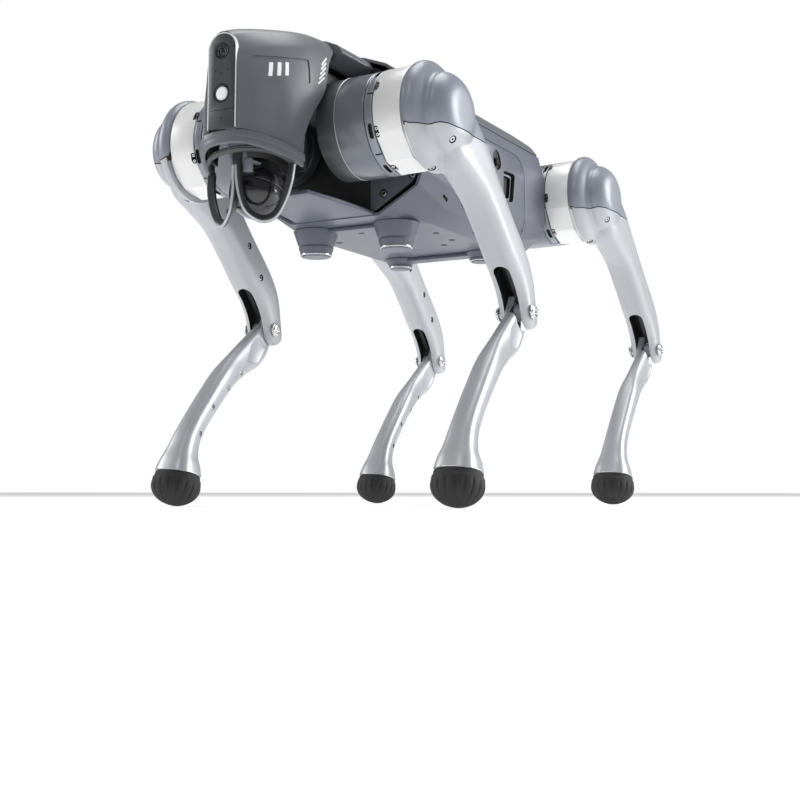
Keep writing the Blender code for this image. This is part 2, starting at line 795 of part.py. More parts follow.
def battery_prism(extra, inner, outer):
    """The battery's D-shaped section, made thick along Y."""
    back, front = BATTERY_BACK - extra, BATTERY_FRONT + extra
    low, high = BATTERY_LOW - extra, BATTERY_HIGH + extra
    corner = 0.020
    outline = [(front, low), (front, high), (back + corner, high)]
    for step in range(1, 5):
        angle = math.radians(90 + 22.5 * step)
        outline.append((back + corner + corner * math.cos(angle), high - corner + corner * math.sin(angle)))
    for step in range(5):
        angle = math.radians(180 + 22.5 * step)
        outline.append((back + corner + corner * math.cos(angle), low + corner + corner * math.sin(angle)))
    return plate("Y", outline, inner, outer)


BUTTON_PLACE = (-0.0205, 0.0130)
BUTTON_RADIUS = 0.0042


def battery_pack():
    body = battery_prism(0.0, -0.0400, 0.1000)
    skin = plate("X", tub_outline(*TUB_RINGS[1][1:]), BATTERY_BACK - 0.01, BATTERY_FRONT + 0.01)
    body = combine(body, skin, "INTERSECT")
    handle = block((-0.0670, 0.0915, -0.0200), (-0.0390, 0.1200, 0.0080))
    hole = cylinder("Y", 0.0865, 0.12, BUTTON_RADIUS + GAP, BUTTON_PLACE)
    return cut(body, handle, hole)


def power_button():
    return cylinder("Y", 0.0889, 0.0956, BUTTON_RADIUS, BUTTON_PLACE)


def back_cover():
    skin = both_sides(
        [(0.0300, 0.0858), (0.0560, 0.0760), (0.0800, 0.0580), (0.0886, 0.0467)]
    )
    inside = both_sides(
        [(0.0290, 0.0830), (0.0545, 0.0733), (0.0778, 0.0560), (0.0855, 0.0455), (0.0855, 0.0300)]
    )
    neck = both_sides(
        [(0.0240, 0.0852), (0.0380, 0.0790), (0.0430, 0.0715), (0.0270, 0.0625)]
    )
    cover = plate("X", skin, -TUB_HALF_LENGTH, TUB_HALF_LENGTH)
    cover = join(cover, plate("X", neck, TAIL_END + 0.0005, NECK_FRONT))
    tail = block((TAIL_END, -0.0360, -0.0335), (-0.2540, 0.0360, 0.0740))
    cover = join(cover, tail)
    cover = cut(cover, plate("X", inside, -TUB_HALF_LENGTH - 0.0003, TUB_HALF_LENGTH + 0.0003))
    tunnel = block((-0.2535, -0.0230, 0.0500), (NECK_FRONT + 0.01, 0.0230, 0.0790))
    return cut(cover, tunnel)


def head_loft(inset, stations):
    """A head-shaped solid, wider at the foot. Stations: x, half width high up and low down, top height."""
    rings = []
    for x, high_width, low_width, top in stations:
        middle = (top - inset + HOOD_DEPTH) / 2
        half_height = (top - inset - HOOD_DEPTH) / 2
        ring = []
        for share, up in superellipse(1.0, half_height, 3.2, 20):
            drop = (HOOD_WIDE_Z[1] - middle - up) / (HOOD_WIDE_Z[1] - HOOD_WIDE_Z[0])
            half_width = high_width + (low_width - high_width) * drop
            ring.append((x, share * (half_width - inset), middle + up))
        rings.append(ring)
    return loft(rings)


HOOD_STATIONS = [
    (0.2045, 0.0450, 0.0460, 0.0885),
    (0.2300, 0.0455, 0.0465, 0.0860),
    (0.2600, 0.0460, 0.0475, 0.0795),
    (0.2850, 0.0390, 0.0447, 0.0735),
    (0.3020, 0.0310, 0.0362, 0.0690),
    (0.3140, 0.0240, 0.0292, 0.0652),
    (0.3215, 0.0190, 0.0225, 0.0622),
    (0.3262, 0.0160, 0.0180, 0.0602),
]
HOOD_WIDE_Z = (-0.0200, 0.0500)  # heights of the low and the high half width
HOOD_DEPTH = -0.0800  # the hood is drawn down to here, then cut off at the seam
SEAM_FRONT_Z = -0.0245  # seam between hood and collar at the nose
LIP_FRONT_Z = -0.0357  # lower edge of the collar at the nose
SEAM_SLOPE = 0.285  # both fall this much per metre to the rear
NOSE_X = 0.3262


def seam_height(x, front_z):
    return front_z - SEAM_SLOPE * (NOSE_X - x)


def seam_side(front_z, above):
    """A block over or under the sloping seam."""
    far = 0.2 if above else -0.2
    outline = [(x, seam_height(x, front_z)) for x in (0.15, 0.35)] + [(0.35, far), (0.15, far)]
    return plate("Y", outline, -0.1, 0.1)


def hood_arch():
    """The opening over the front hips, as a solid across the whole head."""
    outline = [
        (0.1900, 0.0705), (0.2060, 0.0705), (0.2220, 0.0555), (0.2310, 0.0440), (0.2375, 0.0320),
        (0.2475, 0.0120), (0.2600, -0.0130), (0.2720, -0.0600), (0.2720, -0.1200), (0.1900, -0.1200),
    ]
    return plate("Y", outline, -0.1, 0.1)


def face_outline(half_width, low, high):
    """A strip with a round top, as (y, z) points."""
    points = [(-half_width, low), (half_width, low)]
    for step in range(9):
        angle = math.pi * step / 8
        points.append((half_width * math.cos(angle), high - half_width + half_width * math.sin(angle)))
    return points


FACE_HALF_WIDTH = 0.0130
FACE_LOW = -0.0238
FACE_HIGH = 0.0575
LENS_Z = 0.0427
LAMP_Z = 0.0062


def head_hood():
    outer = head_loft(0.0, HOOD_STATIONS)
    behind = (0.19, *HOOD_STATIONS[0][1:])
    inner = head_loft(0.0026, [behind] + [(station[0] - 0.0030, *station[1:]) for station in HOOD_STATIONS[1:]])
    window = plate("X", face_outline(FACE_HALF_WIDTH + GAP, FACE_LOW - 0.02, FACE_HIGH + GAP), 0.31, 0.34)
    return cut(outer, inner, seam_side(SEAM_FRONT_Z, False), hood_arch(), window)


def chin_collar():
    outer = collar_prism(0.0, 0.0022, -0.1000, 0.0000)
    inner = collar_prism(-0.0030, -0.0013, -0.1100, 0.0100)
    back = block((0.2, -0.1, -0.2), (0.2735, 0.1, 0.1))
    seam = seam_side(SEAM_FRONT_Z - GAP, True)
    return cut(outer, inner, seam, seam_side(LIP_FRONT_Z, False), back)


def collar_prism(shift, widen, low, high):
    """An upright prism with the outline of the hood's foot, moved along X and widened."""
    front = [(x + shift, low_width + widen) for x, high_width, low_width, top in HOOD_STATIONS[1:]]
    outline = front + [(x, -width) for x, width in reversed(front)]
    return plate("Z", outline, low, high)


def face_window():
    strip = plate("X", face_outline(FACE_HALF_WIDTH, FACE_LOW, FACE_HIGH), 0.3235, 0.3274)
    lens_hole = cylinder("X", 0.32, 0.34, 0.0068, centre=(0, LENS_Z), segments=20)
    lamp_hole = cylinder("X", 0.32, 0.34, 0.0080, centre=(0, LAMP_Z), segments=20)
    return cut(strip, lens_hole, lamp_hole)


def camera_lens():
    return cylinder("X", 0.3170, 0.3278, 0.0068 - GAP, centre=(0, LENS_Z), segments=20)


def headlamp():
    return cylinder("X", 0.3180, 0.3278, 0.0080 - GAP, centre=(0, LAMP_Z), segments=20)


def lidar_seat():
    return Matrix.Translation(LIDAR_CENTRE) @ Matrix.Rotation(-LIDAR_TILT, 4, "Y")


def lidar_rotor():
    """Drawn about its spin axis. The dome points down and forward."""
    profile = [(0.0, 0.0120), (0.0215, 0.0120), (0.0240, 0.0095), (0.0240, -0.0020)]
    for step in range(1, 5):
        angle = math.radians(22.5) * step
        profile.append((0.0240 * math.cos(angle), -0.0020 - 0.0230 * math.sin(angle)))
    profile[-1] = (0.0, -0.0250)
    body = turned("Z", profile, 20)
    stub = cylinder("Z", 0.0060, 0.0180, 0.0060)
    window = block((0.0150, -0.0120, -0.0080), (0.0300, 0.0120, 0.0060))
    return cut(join(body, stub), window)


def lidar_mount():
    plinth = turned("Z", [(0.0, 0.0235), (0.0170, 0.0235), (0.0205, 0.0125), (0.0, 0.0125)], 20)
    hole = cylinder("Z", 0.0, 0.0190, 0.0060 + GAP)
    for piece in (plinth, hole):
        piece.data.transform(lidar_seat())
    arm = block((0.2465, -0.0140, -0.0475), (0.2760, 0.0140, -0.0400))
    return cut(join(plinth, arm), hole)


def band_bar(path, width, depth):
    """A bar along a path, with its flat sides facing away from the sensor."""
    centre = Vector(LIDAR_CENTRE)
    points = [Vector(place) for place in path]
    rings = []
    for index, point in enumerate(points):
        along = points[min(index + 1, len(points) - 1)] - points[max(index - 1, 0)]
        along.normalize()
        outward = point - centre
        outward -= along * outward.dot(along)
        outward.normalize()
        across = along.cross(outward)
        ring = []
        for share_out, share_across in superellipse(depth / 2, width / 2, 4.0, 8):
            ring.append(point + outward * share_out + across * share_across)
        rings.append(ring)
    return loft(rings)


def lidar_guard():
    """A ring inside the collar's lip, and two hoops that hang from it and meet at the front."""
    arc = []
    for step in range(13):
        angle = math.radians(-90 + 15 * step)
        across = RING_HALF_WIDTH * math.sin(angle)
        x = RING_REAR_X + (RING_FRONT_X - RING_REAR_X) * math.cos(angle) ** 0.8 if step % 12 else RING_REAR_X
        share = (x - RING_REAR_X) / (RING_FRONT_X - RING_REAR_X)
        arc.append((x, across, RING_REAR_Z + share * (RING_FRONT_Z - RING_REAR_Z)))
    guard = band_bar(arc, 0.0050, 0.0046)
    for side in (1, -1):
        guard = join(guard, band_bar([(x, side * y, z) for x, y, z in HOOP], 0.0042, 0.0075))
    return guard


def main_board():
    board = block((0.0120, -0.0600, -0.0010), (0.0880, 0.0600, 0.0010))
    sink = block((0.0300, -0.0200, 0.0005), (0.0700, 0.0200, 0.0120))
    plug = block((0.0150, -0.0560, 0.0005), (0.0250, -0.0300, 0.0090))
    return join(board, sink, plug)


def landing_feet(x, spread, low, top_radius, foot_radius):
    top = TUB_LOW - 0.0004
    bridge = block((x - 0.009, -spread, top - 0.0038), (x + 0.009, spread, top - 0.0002))
    for side in (1, -1):
        cone = turned(
            "Z",
            [
                (0.0, top),
                (top_radius, top),
                (foot_radius + 0.0012, low + 0.0050),
                (foot_radius + 0.0010, low + 0.0006),
                (foot_radius, low),
                (0.0, low),
            ],
            16,
        )
        cone.data.transform(Matrix.Translation((x, side * spread, 0)))
        bridge = join(bridge, cone)
    return bridge


def make_trunk(trunk):
    battery = empty("battery_slide", trunk, (0, 0, 0))
    spin = empty("lidar_axis", trunk, LIDAR_CENTRE, (0, -LIDAR_TILT, 0))
    pieces = [
        ("chassis_frame", chassis_frame(), "frame_black", trunk),
        ("belly_tub", belly_tub(), "blue_grey_plastic", trunk),
        ("back_cover", back_cover(), "slate_plastic", trunk),
        ("battery_pack", battery_pack(), "blue_grey_plastic", battery),
        ("power_button", power_button(), "gloss_black", battery),
        ("main_board", main_board(), "board_green", trunk),
        ("head_hood", head_hood(), "slate_plastic", trunk),
        ("chin_collar", chin_collar(), "blue_grey_plastic", trunk),
        ("face_window", face_window(), "gloss_black", trunk),
        ("camera_lens", camera_lens(), "gloss_black", trunk),
        ("headlamp", headlamp(), "lamp_white", trunk),
        ("lidar_mount", lidar_mount(), "frame_black", trunk),
        ("lidar_rotor", lidar_rotor(), "gloss_black", spin),
        ("lidar_guard", lidar_guard(), "frame_black", trunk),
        ("front_landing_feet", landing_feet(0.1050, 0.0450, -0.0950, 0.0225, 0.0140), "blue_grey_plastic", trunk),
        ("rear_landing_feet", landing_feet(-0.0780, 0.0495, -0.0800, 0.0170, 0.0108), "blue_grey_plastic", trunk),
    ]
    for name, piece, finish, parent in pieces:
        place(name, taken_mesh(piece), finish, parent)


def main():
    trunk = empty("trunk", None, (BODY_X, 0, HIP_HEIGHT))
    make_trunk(trunk)
    make_legs(trunk)


main()
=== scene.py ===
"""Looks of the quadruped robot dog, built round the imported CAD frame.

Leg pieces are drawn once, for a left leg, in the frame of the joint that carries them: x forward (or
across the limb), y outboard, z up along the limb. Trunk pieces are drawn about the trunk's centre, level
with the hip axes. The right side is the mirror image of the left.
"""

import json
import math

import bmesh
import bpy
from mathutils import Matrix, Vector


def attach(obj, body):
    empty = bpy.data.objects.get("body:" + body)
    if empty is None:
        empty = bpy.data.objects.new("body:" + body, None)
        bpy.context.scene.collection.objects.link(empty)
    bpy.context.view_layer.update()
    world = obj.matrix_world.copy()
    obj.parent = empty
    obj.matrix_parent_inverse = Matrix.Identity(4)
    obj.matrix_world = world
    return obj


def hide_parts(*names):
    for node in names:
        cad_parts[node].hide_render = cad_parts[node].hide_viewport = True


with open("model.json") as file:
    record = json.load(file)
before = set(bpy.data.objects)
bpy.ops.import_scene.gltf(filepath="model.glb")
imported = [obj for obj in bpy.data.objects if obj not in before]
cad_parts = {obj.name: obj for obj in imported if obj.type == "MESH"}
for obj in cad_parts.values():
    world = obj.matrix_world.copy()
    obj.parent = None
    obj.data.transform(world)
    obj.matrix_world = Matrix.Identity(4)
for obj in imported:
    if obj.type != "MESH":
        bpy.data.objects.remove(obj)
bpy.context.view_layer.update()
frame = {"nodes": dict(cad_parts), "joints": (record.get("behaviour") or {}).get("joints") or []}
JOINTS = {joint["name"]: joint for joint in frame["joints"]}

# Driving dimensions, shared with the CAD.
HIP_X = 0.1934
HIP_Y = 0.0465
LIMB = 0.213
THIGH_PITCH = math.radians(42.2)
KNEE_BEND = math.radians(-82.1)
SHANK_PITCH = THIGH_PITCH + KNEE_BEND
BAND_RADIUS = 0.047
HEAD_INNER = -0.0197
BOOT_LEAN = math.radians(12.0)
BOOT_TOP = 0.0125
FOOT_RADIUS = 0.0235
SOLE_DEPTH = 0.0184
FORK_TOP = -0.158
FORK_BACK = -0.0178
FORK_HALF_GAP = 0.0080
TUB_HALF_LENGTH = 0.1450
NOSE_X = 0.3262
SEAM_FRONT_Z = -0.0245
LIP_FRONT_Z = -0.0357
SEAM_SLOPE = 0.285
LIDAR_CENTRE = Vector((0.2740, 0.0, -0.0665))
LIDAR_TILT = math.radians(18.0)

FRONT_HIP = Vector(JOINTS["fl_abduction"]["pos_m"])
TRUNK_ORIGIN = Vector((FRONT_HIP.x - HIP_X, 0.0, FRONT_HIP.z))
TRUNK = Matrix.Translation(TRUNK_ORIGIN)
LEGS = (("fl", 1, 1), ("fr", 1, -1), ("rl", -1, 1), ("rr", -1, -1))

# Finishes: slot, colour, roughness, metallic, colour variation, bump strength, bump scale, coat.
FINISHES = {
    "limb_silver": ("silver_casting", (0.43, 0.445, 0.47), 0.36, 0.25, 0.05, 0.05, 1400.0, 0.15),
    "band_white": ("motor_silver", (0.76, 0.76, 0.76), 0.36, 0.15, 0.04, 0.05, 1500.0, 0.10),
    "ring_silver": ("motor_silver", (0.25, 0.265, 0.30), 0.32, 0.45, 0.05, 0.04, 1200.0, 0.10),
    "cap_blue": ("blue_grey_plastic", (0.235, 0.255, 0.30), 0.40, 0.10, 0.05, 0.05, 1300.0, 0.15),
    "drum_dark": ("dark_casting", (0.055, 0.058, 0.066), 0.42, 0.10, 0.05, 0.03, 1100.0, 0.30),
    "sleeve_blue": ("blue_grey_plastic", (0.150, 0.162, 0.190), 0.24, 0.20, 0.05, 0.03, 1100.0, 0.30),
    "hood_slate": ("slate_plastic", (0.112, 0.122, 0.138), 0.46, 0.05, 0.05, 0.05, 1300.0, 0.08),
    "tub_blue": ("blue_grey_plastic", (0.098, 0.108, 0.142), 0.42, 0.05, 0.05, 0.06, 1200.0, 0.10),
    "light_blue": ("blue_grey_plastic", (0.19, 0.205, 0.235), 0.40, 0.05, 0.05, 0.05, 1200.0, 0.10),
    "frame_black": ("frame_black", (0.020, 0.020, 0.022), 0.45, 0.0, 0.10, 0.06, 900.0, 0.0),
    # painted shade: near-black for the faces inside holes, slots and hollows, and for the sheet in the gap
    # under the shoulder cap
    "painted_shade_black": ("frame_black", (0.006, 0.006, 0.007), 0.65, 0.0, 0.20, 0.05, 700.0, 0.0),
    "rubber": ("rubber_black", (0.016, 0.016, 0.017), 0.70, 0.0, 0.20, 0.25, 1600.0, 0.0),
    "gloss_black": ("gloss_black", (0.010, 0.010, 0.012), 0.10, 0.0, 0.10, 0.01, 400.0, 0.5),
    "panel_grey": ("gloss_black", (0.038, 0.040, 0.044), 0.42, 0.0, 0.08, 0.04, 1200.0, 0.2),
    "steel": ("steel", (0.62, 0.62, 0.63), 0.24, 0.95, 0.06, 0.06, 900.0, 0.0),
    "white_print": ("lamp_white", (0.85, 0.86, 0.87), 0.45, 0.0, 0.03, 0.02, 900.0, 0.0),
    "board_green": ("board_green", (0.02, 0.12, 0.05), 0.50, 0.0, 0.15, 0.05, 600.0, 0.1),
    # painted shade: a darker copy of the tub's blue for the tub's front end plates
    "wall_painted_shade": ("frame_black", (0.080, 0.087, 0.105), 0.42, 0.0, 0.10, 0.05, 900.0, 0.10),
    "guard_dark": ("frame_black", (0.055, 0.057, 0.062), 0.34, 0.35, 0.06, 0.04, 1000.0, 0.15),
    # on the guard's bars this pale finish is a painted highlight along their outer faces
    "guard_edge": ("steel", (0.42, 0.43, 0.46), 0.30, 0.50, 0.05, 0.04, 1000.0, 0.15),
}


def make_finish(name, colour, roughness, metallic, variation, bump, scale, coat):
    """A moulded or painted surface: cloudy colour, uneven gloss, fine dust specks and a fine grain."""
    material = bpy.data.materials.new(name)
    material.use_nodes = True
    tree = material.node_tree
    shader = tree.nodes["Principled BSDF"]
    shader.inputs["Metallic"].default_value = metallic
    shader.inputs["Coat Weight"].default_value = coat
    shader.inputs["Coat Roughness"].default_value = 0.22

    def node(kind, **inputs):
        made = tree.nodes.new(kind)
        for key, value in inputs.items():
            made.inputs[key].default_value = value
        return made

    place = tree.nodes.new("ShaderNodeTexCoord")

    def noise(noise_scale, detail):
        made = node("ShaderNodeTexNoise", Scale=noise_scale, Detail=detail, Roughness=0.6)
        tree.links.new(place.outputs["Object"], made.inputs["Vector"])
        return made

    clouds = noise(14.0, 4.0)
    specks = noise(520.0, 2.0)
    smudges = noise(45.0, 5.0)
    grain = noise(scale, 2.0)
    shade = tree.nodes.new("ShaderNodeValToRGB")
    dark = [max(0.0, channel * (1 - variation)) for channel in colour]
    light = [min(1.0, channel * (1 + variation)) for channel in colour]
    shade.color_ramp.elements[0].position = 0.30
    shade.color_ramp.elements[0].color = (*dark, 1.0)
    shade.color_ramp.elements[1].position = 0.70
    shade.color_ramp.elements[1].color = (*light, 1.0)
    tree.links.new(clouds.outputs["Fac"], shade.inputs["Fac"])
    dust = tree.nodes.new("ShaderNodeValToRGB")
    dust.color_ramp.elements[0].position = 0.66
    dust.color_ramp.elements[0].color = (0.0, 0.0, 0.0, 1.0)
    dust.color_ramp.elements[1].position = 0.80
    dust.color_ramp.elements[1].color = (0.35, 0.35, 0.35, 1.0)
    tree.links.new(specks.outputs["Fac"], dust.inputs["Fac"])
    mix = tree.nodes.new("ShaderNodeMix")
    mix.data_type = "RGBA"
    mix.inputs["B"].default_value = (*[min(1.0, 0.75 * channel + 0.06) for channel in colour], 1.0)
    tree.links.new(dust.outputs["Color"], mix.inputs["Factor"])
    tree.links.new(shade.outputs["Color"], mix.inputs["A"])
    tree.links.new(mix.outputs["Result"], shader.inputs["Base Color"])
    gloss = node("ShaderNodeMapRange")
    gloss.inputs["To Min"].default_value = roughness * 0.88
    gloss.inputs["To Max"].default_value = min(1.0, roughness * 1.14)
    tree.links.new(smudges.outputs["Fac"], gloss.inputs["Value"])
    tree.links.new(gloss.outputs["Result"], shader.inputs["Roughness"])
    relief = node("ShaderNodeBump", Strength=bump, Distance=0.0004)
    tree.links.new(grain.outputs["Fac"], relief.inputs["Height"])
    tree.links.new(relief.outputs["Normal"], shader.inputs["Normal"])
    return material


MATERIALS = {name: make_finish(name, *values[1:]) for name, values in FINISHES.items()}
# the second work finish is the painted shade that dark tools leave on the faces they cut
WORK_FINISHES = ("frame_black", "painted_shade_black")
SHARP_ANGLE = math.radians(32.0)

# Shape tools. Each returns a bmesh, or an object while it is being cut.


def new_mesh(bm, name="work"):
    bmesh.ops.recalc_face_normals(bm, faces=bm.faces)
    mesh = bpy.data.meshes.new(name)
    bm.to_mesh(mesh)
    bm.free()
    return mesh


def work(mesh, dark=False):
    """A temporary object. A dark tool leaves faces of the piece's second material, the near-black painted
    shade of holes, slots and hollows.
    """
    obj = bpy.data.objects.new("work", mesh)
    bpy.context.scene.collection.objects.link(obj)
    for name in WORK_FINISHES:
        mesh.materials.append(MATERIALS[name])
    for face in mesh.polygons:
        face.material_index = 1 if dark else 0
    return obj


def evaluated(obj):
    bpy.context.view_layer.update()
    graph = bpy.context.evaluated_depsgraph_get()
    return bpy.data.meshes.new_from_object(obj.evaluated_get(graph))


def applied(obj):
    """The object with its modifiers applied."""
    mesh = evaluated(obj)
    obj.modifiers.clear()
    obj.data = mesh
    return obj


def combine(body, tool, operation):
    """The body cut, joined or crossed with the tool, by whichever solver gives a result."""
    for solver in ("MANIFOLD", "EXACT"):
        boolean = body.modifiers.new(operation, "BOOLEAN")
        boolean.operation = operation
        boolean.object = tool
        boolean.solver = solver
        mesh = evaluated(body)
        body.modifiers.clear()
        changed = len(mesh.polygons) > 0 and len(mesh.polygons) != len(body.data.polygons)
        if changed or solver == "EXACT":
            body.data = mesh
            break
    bpy.data.objects.remove(tool)
    return body


def cut(body, *tools):
    for tool in tools:
        combine(body, tool, "DIFFERENCE")
    return body


def join(body, *tools):
    for tool in tools:
        combine(body, tool, "UNION")
    return body


def copy_of(obj):
    twin = obj.copy()
    twin.data = obj.data.copy()
    bpy.context.scene.collection.objects.link(twin)
    return twin


def superellipse(half_a, half_b, power, count):
    """Points round an ellipse with squarer shoulders."""
    points = []
    for index in range(count):
        angle = math.tau * (index + 0.5) / count
        cosine, sine = math.cos(angle), math.sin(angle)
        a = half_a * math.copysign(abs(cosine) ** (2 / power), cosine)
        b = half_b * math.copysign(abs(sine) ** (2 / power), sine)
        points.append((a, b))
    return points


def smooth_rows(rows, per_span):
    """More rows along a smooth curve through these rows of numbers."""
    made = []
    last = len(rows) - 1
    for index in range(last):
        before, start = rows[max(index - 1, 0)], rows[index]
        end, after = rows[index + 1], rows[min(index + 2, last)]
        for step in range(per_span):
            t = step / per_span
            row = []
            for p0, p1, p2, p3 in zip(before, start, end, after):
                slope_1, slope_2 = (p2 - p0) / 2, (p3 - p1) / 2
                row.append(
                    (2 * t**3 - 3 * t**2 + 1) * p1 + (t**3 - 2 * t**2 + t) * slope_1
                    + (3 * t**2 - 2 * t**3) * p2 + (t**3 - t**2) * slope_2
                )
            made.append(tuple(row))
    made.append(tuple(rows[-1]))
    return made


def loft(rings):
    """A skin over rings that have as many points each, closed at both ends."""
    bm = bmesh.new()
    rows = [[bm.verts.new(point) for point in ring] for ring in rings]
    for row, following in zip(rows, rows[1:]):
        for index in range(len(row)):
            after = (index + 1) % len(row)
            bm.faces.new((row[index], row[after], following[after], following[index]))
    bm.faces.new(rows[0])
    bm.faces.new(rows[-1])
    return bm


AXES = {
    "X": Matrix(((0, 0, 1), (1, 0, 0), (0, 1, 0))).to_4x4(),
    "Y": Matrix(((0, 1, 0), (0, 0, 1), (1, 0, 0))).to_4x4(),
    "Z": Matrix.Identity(4),
}


def rounded(profile, size, steps=3):
    """The profile of (radius, height) points with each inner corner turned into a small arc."""
    points = [profile[0]]
    for before, corner, after in zip(profile, profile[1:], profile[2:]):
        middle = Vector(corner)
        back, ahead = Vector(before) - middle, Vector(after) - middle
        reach = min(size, back.length * 0.45, ahead.length * 0.45)
        start, end = middle + back.normalized() * reach, middle + ahead.normalized() * reach
        for step in range(steps + 1):
            t = step / steps
            point = start * (1 - t) ** 2 + middle * (2 * t * (1 - t)) + end * t**2
            points.append((point.x, point.y))
    points.append(profile[-1])
    return points


def lathe(axis, profile, segments=72, fillet=0.0006):
    """A turned solid from (radius, height) points that start and end on the axis."""
    bm = bmesh.new()
    points = rounded(profile, fillet) if fillet else profile
    rows = []
    for radius, height in points:
        if radius < 1e-6:
            rows.append([bm.verts.new((0, 0, height))])
            continue
        row = []
        for index in range(segments):
            angle = math.tau * index / segments
            row.append(bm.verts.new((radius * math.cos(angle), radius * math.sin(angle), height)))
        rows.append(row)
    for row, following in zip(rows, rows[1:]):
        for index in range(segments):
            after = (index + 1) % segments
            corners = {id(v): v for v in (
                row[index % len(row)], row[after % len(row)],
                following[after % len(following)], following[index % len(following)],
            )}
            if len(corners) > 2:
                bm.faces.new(list(corners.values()))
    bmesh.ops.transform(bm, matrix=AXES[axis], verts=bm.verts)
    return bm


def rod(axis, start, end, radius, centre=(0, 0), segments=32):
    bm = lathe(axis, [(0, end), (radius, end), (radius, start), (0, start)], segments, 0)
    places = {"X": (0, *centre), "Y": (centre[0], 0, centre[1]), "Z": (*centre, 0)}
    bmesh.ops.translate(bm, vec=places[axis], verts=bm.verts)
    return bm


def prism(axis, outline, start, end):
    """A flat outline made thick along an axis. The outline's points are (y, z), (x, z) or (x, y)."""
    rings = []
    for level in (start, end):
        if axis == "X":
            rings.append([(level, a, b) for a, b in outline])
        elif axis == "Y":
            rings.append([(a, level, b) for a, b in outline])
        else:
            rings.append([(a, b, level) for a, b in outline])
    return loft(rings)


def brick(low, high):
    """A box between two opposite corners."""
    outline = [(low[0], low[1]), (high[0], low[1]), (high[0], high[1]), (low[0], high[1])]
    return prism("Z", outline, low[2], high[2])


def capsule(start, end, radius, steps=10):
    """The outline of a slot between two centres."""
    start, end = Vector(start), Vector(end)
    heading = math.atan2(end.y - start.y, end.x - start.x)
    points = []
    for centre, turn in ((end, -math.pi / 2), (start, math.pi / 2)):
        for step in range(steps + 1):
            angle = heading + turn + math.pi * step / steps
            points.append((centre.x + radius * math.cos(angle), centre.y + radius * math.sin(angle)))
    return points


def bore(axis, start, end, radius, centre=(0, 0), segments=32):
    """A dark round tool, whose cut faces take the painted shade."""
    return solid(rod(axis, start, end, radius, centre, segments), True)


def solid(bm, dark=False, matrix=None):
    if matrix is not None:
        bmesh.ops.transform(bm, matrix=matrix, verts=bm.verts)
    return work(new_mesh(bm), dark)


def bevelled(obj, width, segments=2, angle=35.0):
    bevel = obj.modifiers.new("bevel", "BEVEL")
    bevel.width = width
    bevel.segments = segments
    bevel.limit_method = "ANGLE"
    bevel.angle_limit = math.radians(angle)
    bevel.use_clamp_overlap = True
    return applied(obj)


def remeshed(obj, voxel, smooth_steps):
    remesh = obj.modifiers.new("remesh", "REMESH")
    remesh.mode = "VOXEL"
    remesh.voxel_size = voxel
    smooth = obj.modifiers.new("smooth", "SMOOTH")
    smooth.factor = 0.5
    smooth.iterations = smooth_steps
    applied(obj)
    for name in WORK_FINISHES[len(obj.data.materials):]:
        obj.data.materials.append(MATERIALS[name])
    return obj


def taken(obj):
    """The mesh of a temporary object, which goes away."""
    mesh = obj.data
    bpy.data.objects.remove(obj)
    return mesh


def mirrored(mesh, x_sign, y_sign):
    """A copy for the other end or side of the robot."""
    copy = mesh.copy()
    copy.transform(Matrix.Diagonal((x_sign, y_sign, 1, 1)))
    if x_sign * y_sign < 0:
        copy.flip_normals()
    return copy


def piece(name, mesh, finish, body, matrix, replaced=()):
    """A finished piece of the robot, in place and riding on its body. Its dark cuts stay black, as painted
    shade in its holes and hollows.
    """
    mesh.transform(matrix)
    for index, kind in enumerate((finish, "painted_shade_black")):
        if index < len(mesh.materials):
            mesh.materials[index] = MATERIALS[kind]
        else:
            mesh.materials.append(MATERIALS[kind])
    mesh.shade_smooth()
    mesh.set_sharp_from_angle(angle=SHARP_ANGLE)
    obj = bpy.data.objects.new(name, mesh)
    bpy.context.scene.collection.objects.link(obj)
    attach(obj, body)
    if replaced:
        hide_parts(*replaced)
    return obj


def bolt(radius, height):
    """A screw with a six-sided socket, its head standing on z = 0."""
    profile = [
        (0, height), (radius * 0.93, height), (radius, height * 0.85), (radius, -height), (0, -height),
    ]
    socket = radius * 0.52
    hollow = [(0, height * 2), (socket, height * 2), (socket, height * 0.25), (0, height * 0.25)]
    head = solid(lathe("Z", profile, 28, radius * 0.12))
    return taken(cut(head, solid(lathe("Z", hollow, 6, 0), True)))


def facing(direction, place):
    """The matrix that carries +Z to a direction, at a place."""
    turn = Vector((0, 0, 1)).rotation_difference(Vector(direction)).to_matrix().to_4x4()
    return Matrix.Translation(place) @ turn


def bolts_at(radius, height, places):
    """Screws of one size. Each place is the way the screw faces, and the point that its head stands on."""
    meshes = []
    for direction, place in places:
        screw = bolt(radius, height)
        screw.transform(facing(direction, place))
        meshes.append(screw)
    return merged(meshes)


def merged(meshes):
    """One mesh from several."""
    bm = bmesh.new()
    for mesh in meshes:
        bm.from_mesh(mesh)
    whole = bpy.data.meshes.new("merged")
    bm.to_mesh(whole)
    bm.free()
    return whole


# Leg pieces.

TO_THIGH = Matrix.Rotation(-THIGH_PITCH, 4, "Y")
KNEE_PIVOT = Matrix.Translation((0, 0, -LIMB))
KNEE_BORE = 0.0048
HUB_RADIUS = 0.0333
DRUM_RADIUS = 0.0458
SLEEVE_RADIUS = 0.0464
SLEEVE_START = 0.0102
SLEEVE_END = 0.0394


def ring_of_cutters(make, angles):
    """The same tool at several angles round the hip pitch axis, measured from up towards the front."""
    return [solid(make(), True, Matrix.Rotation(math.radians(angle), 4, "Y")) for angle in angles]


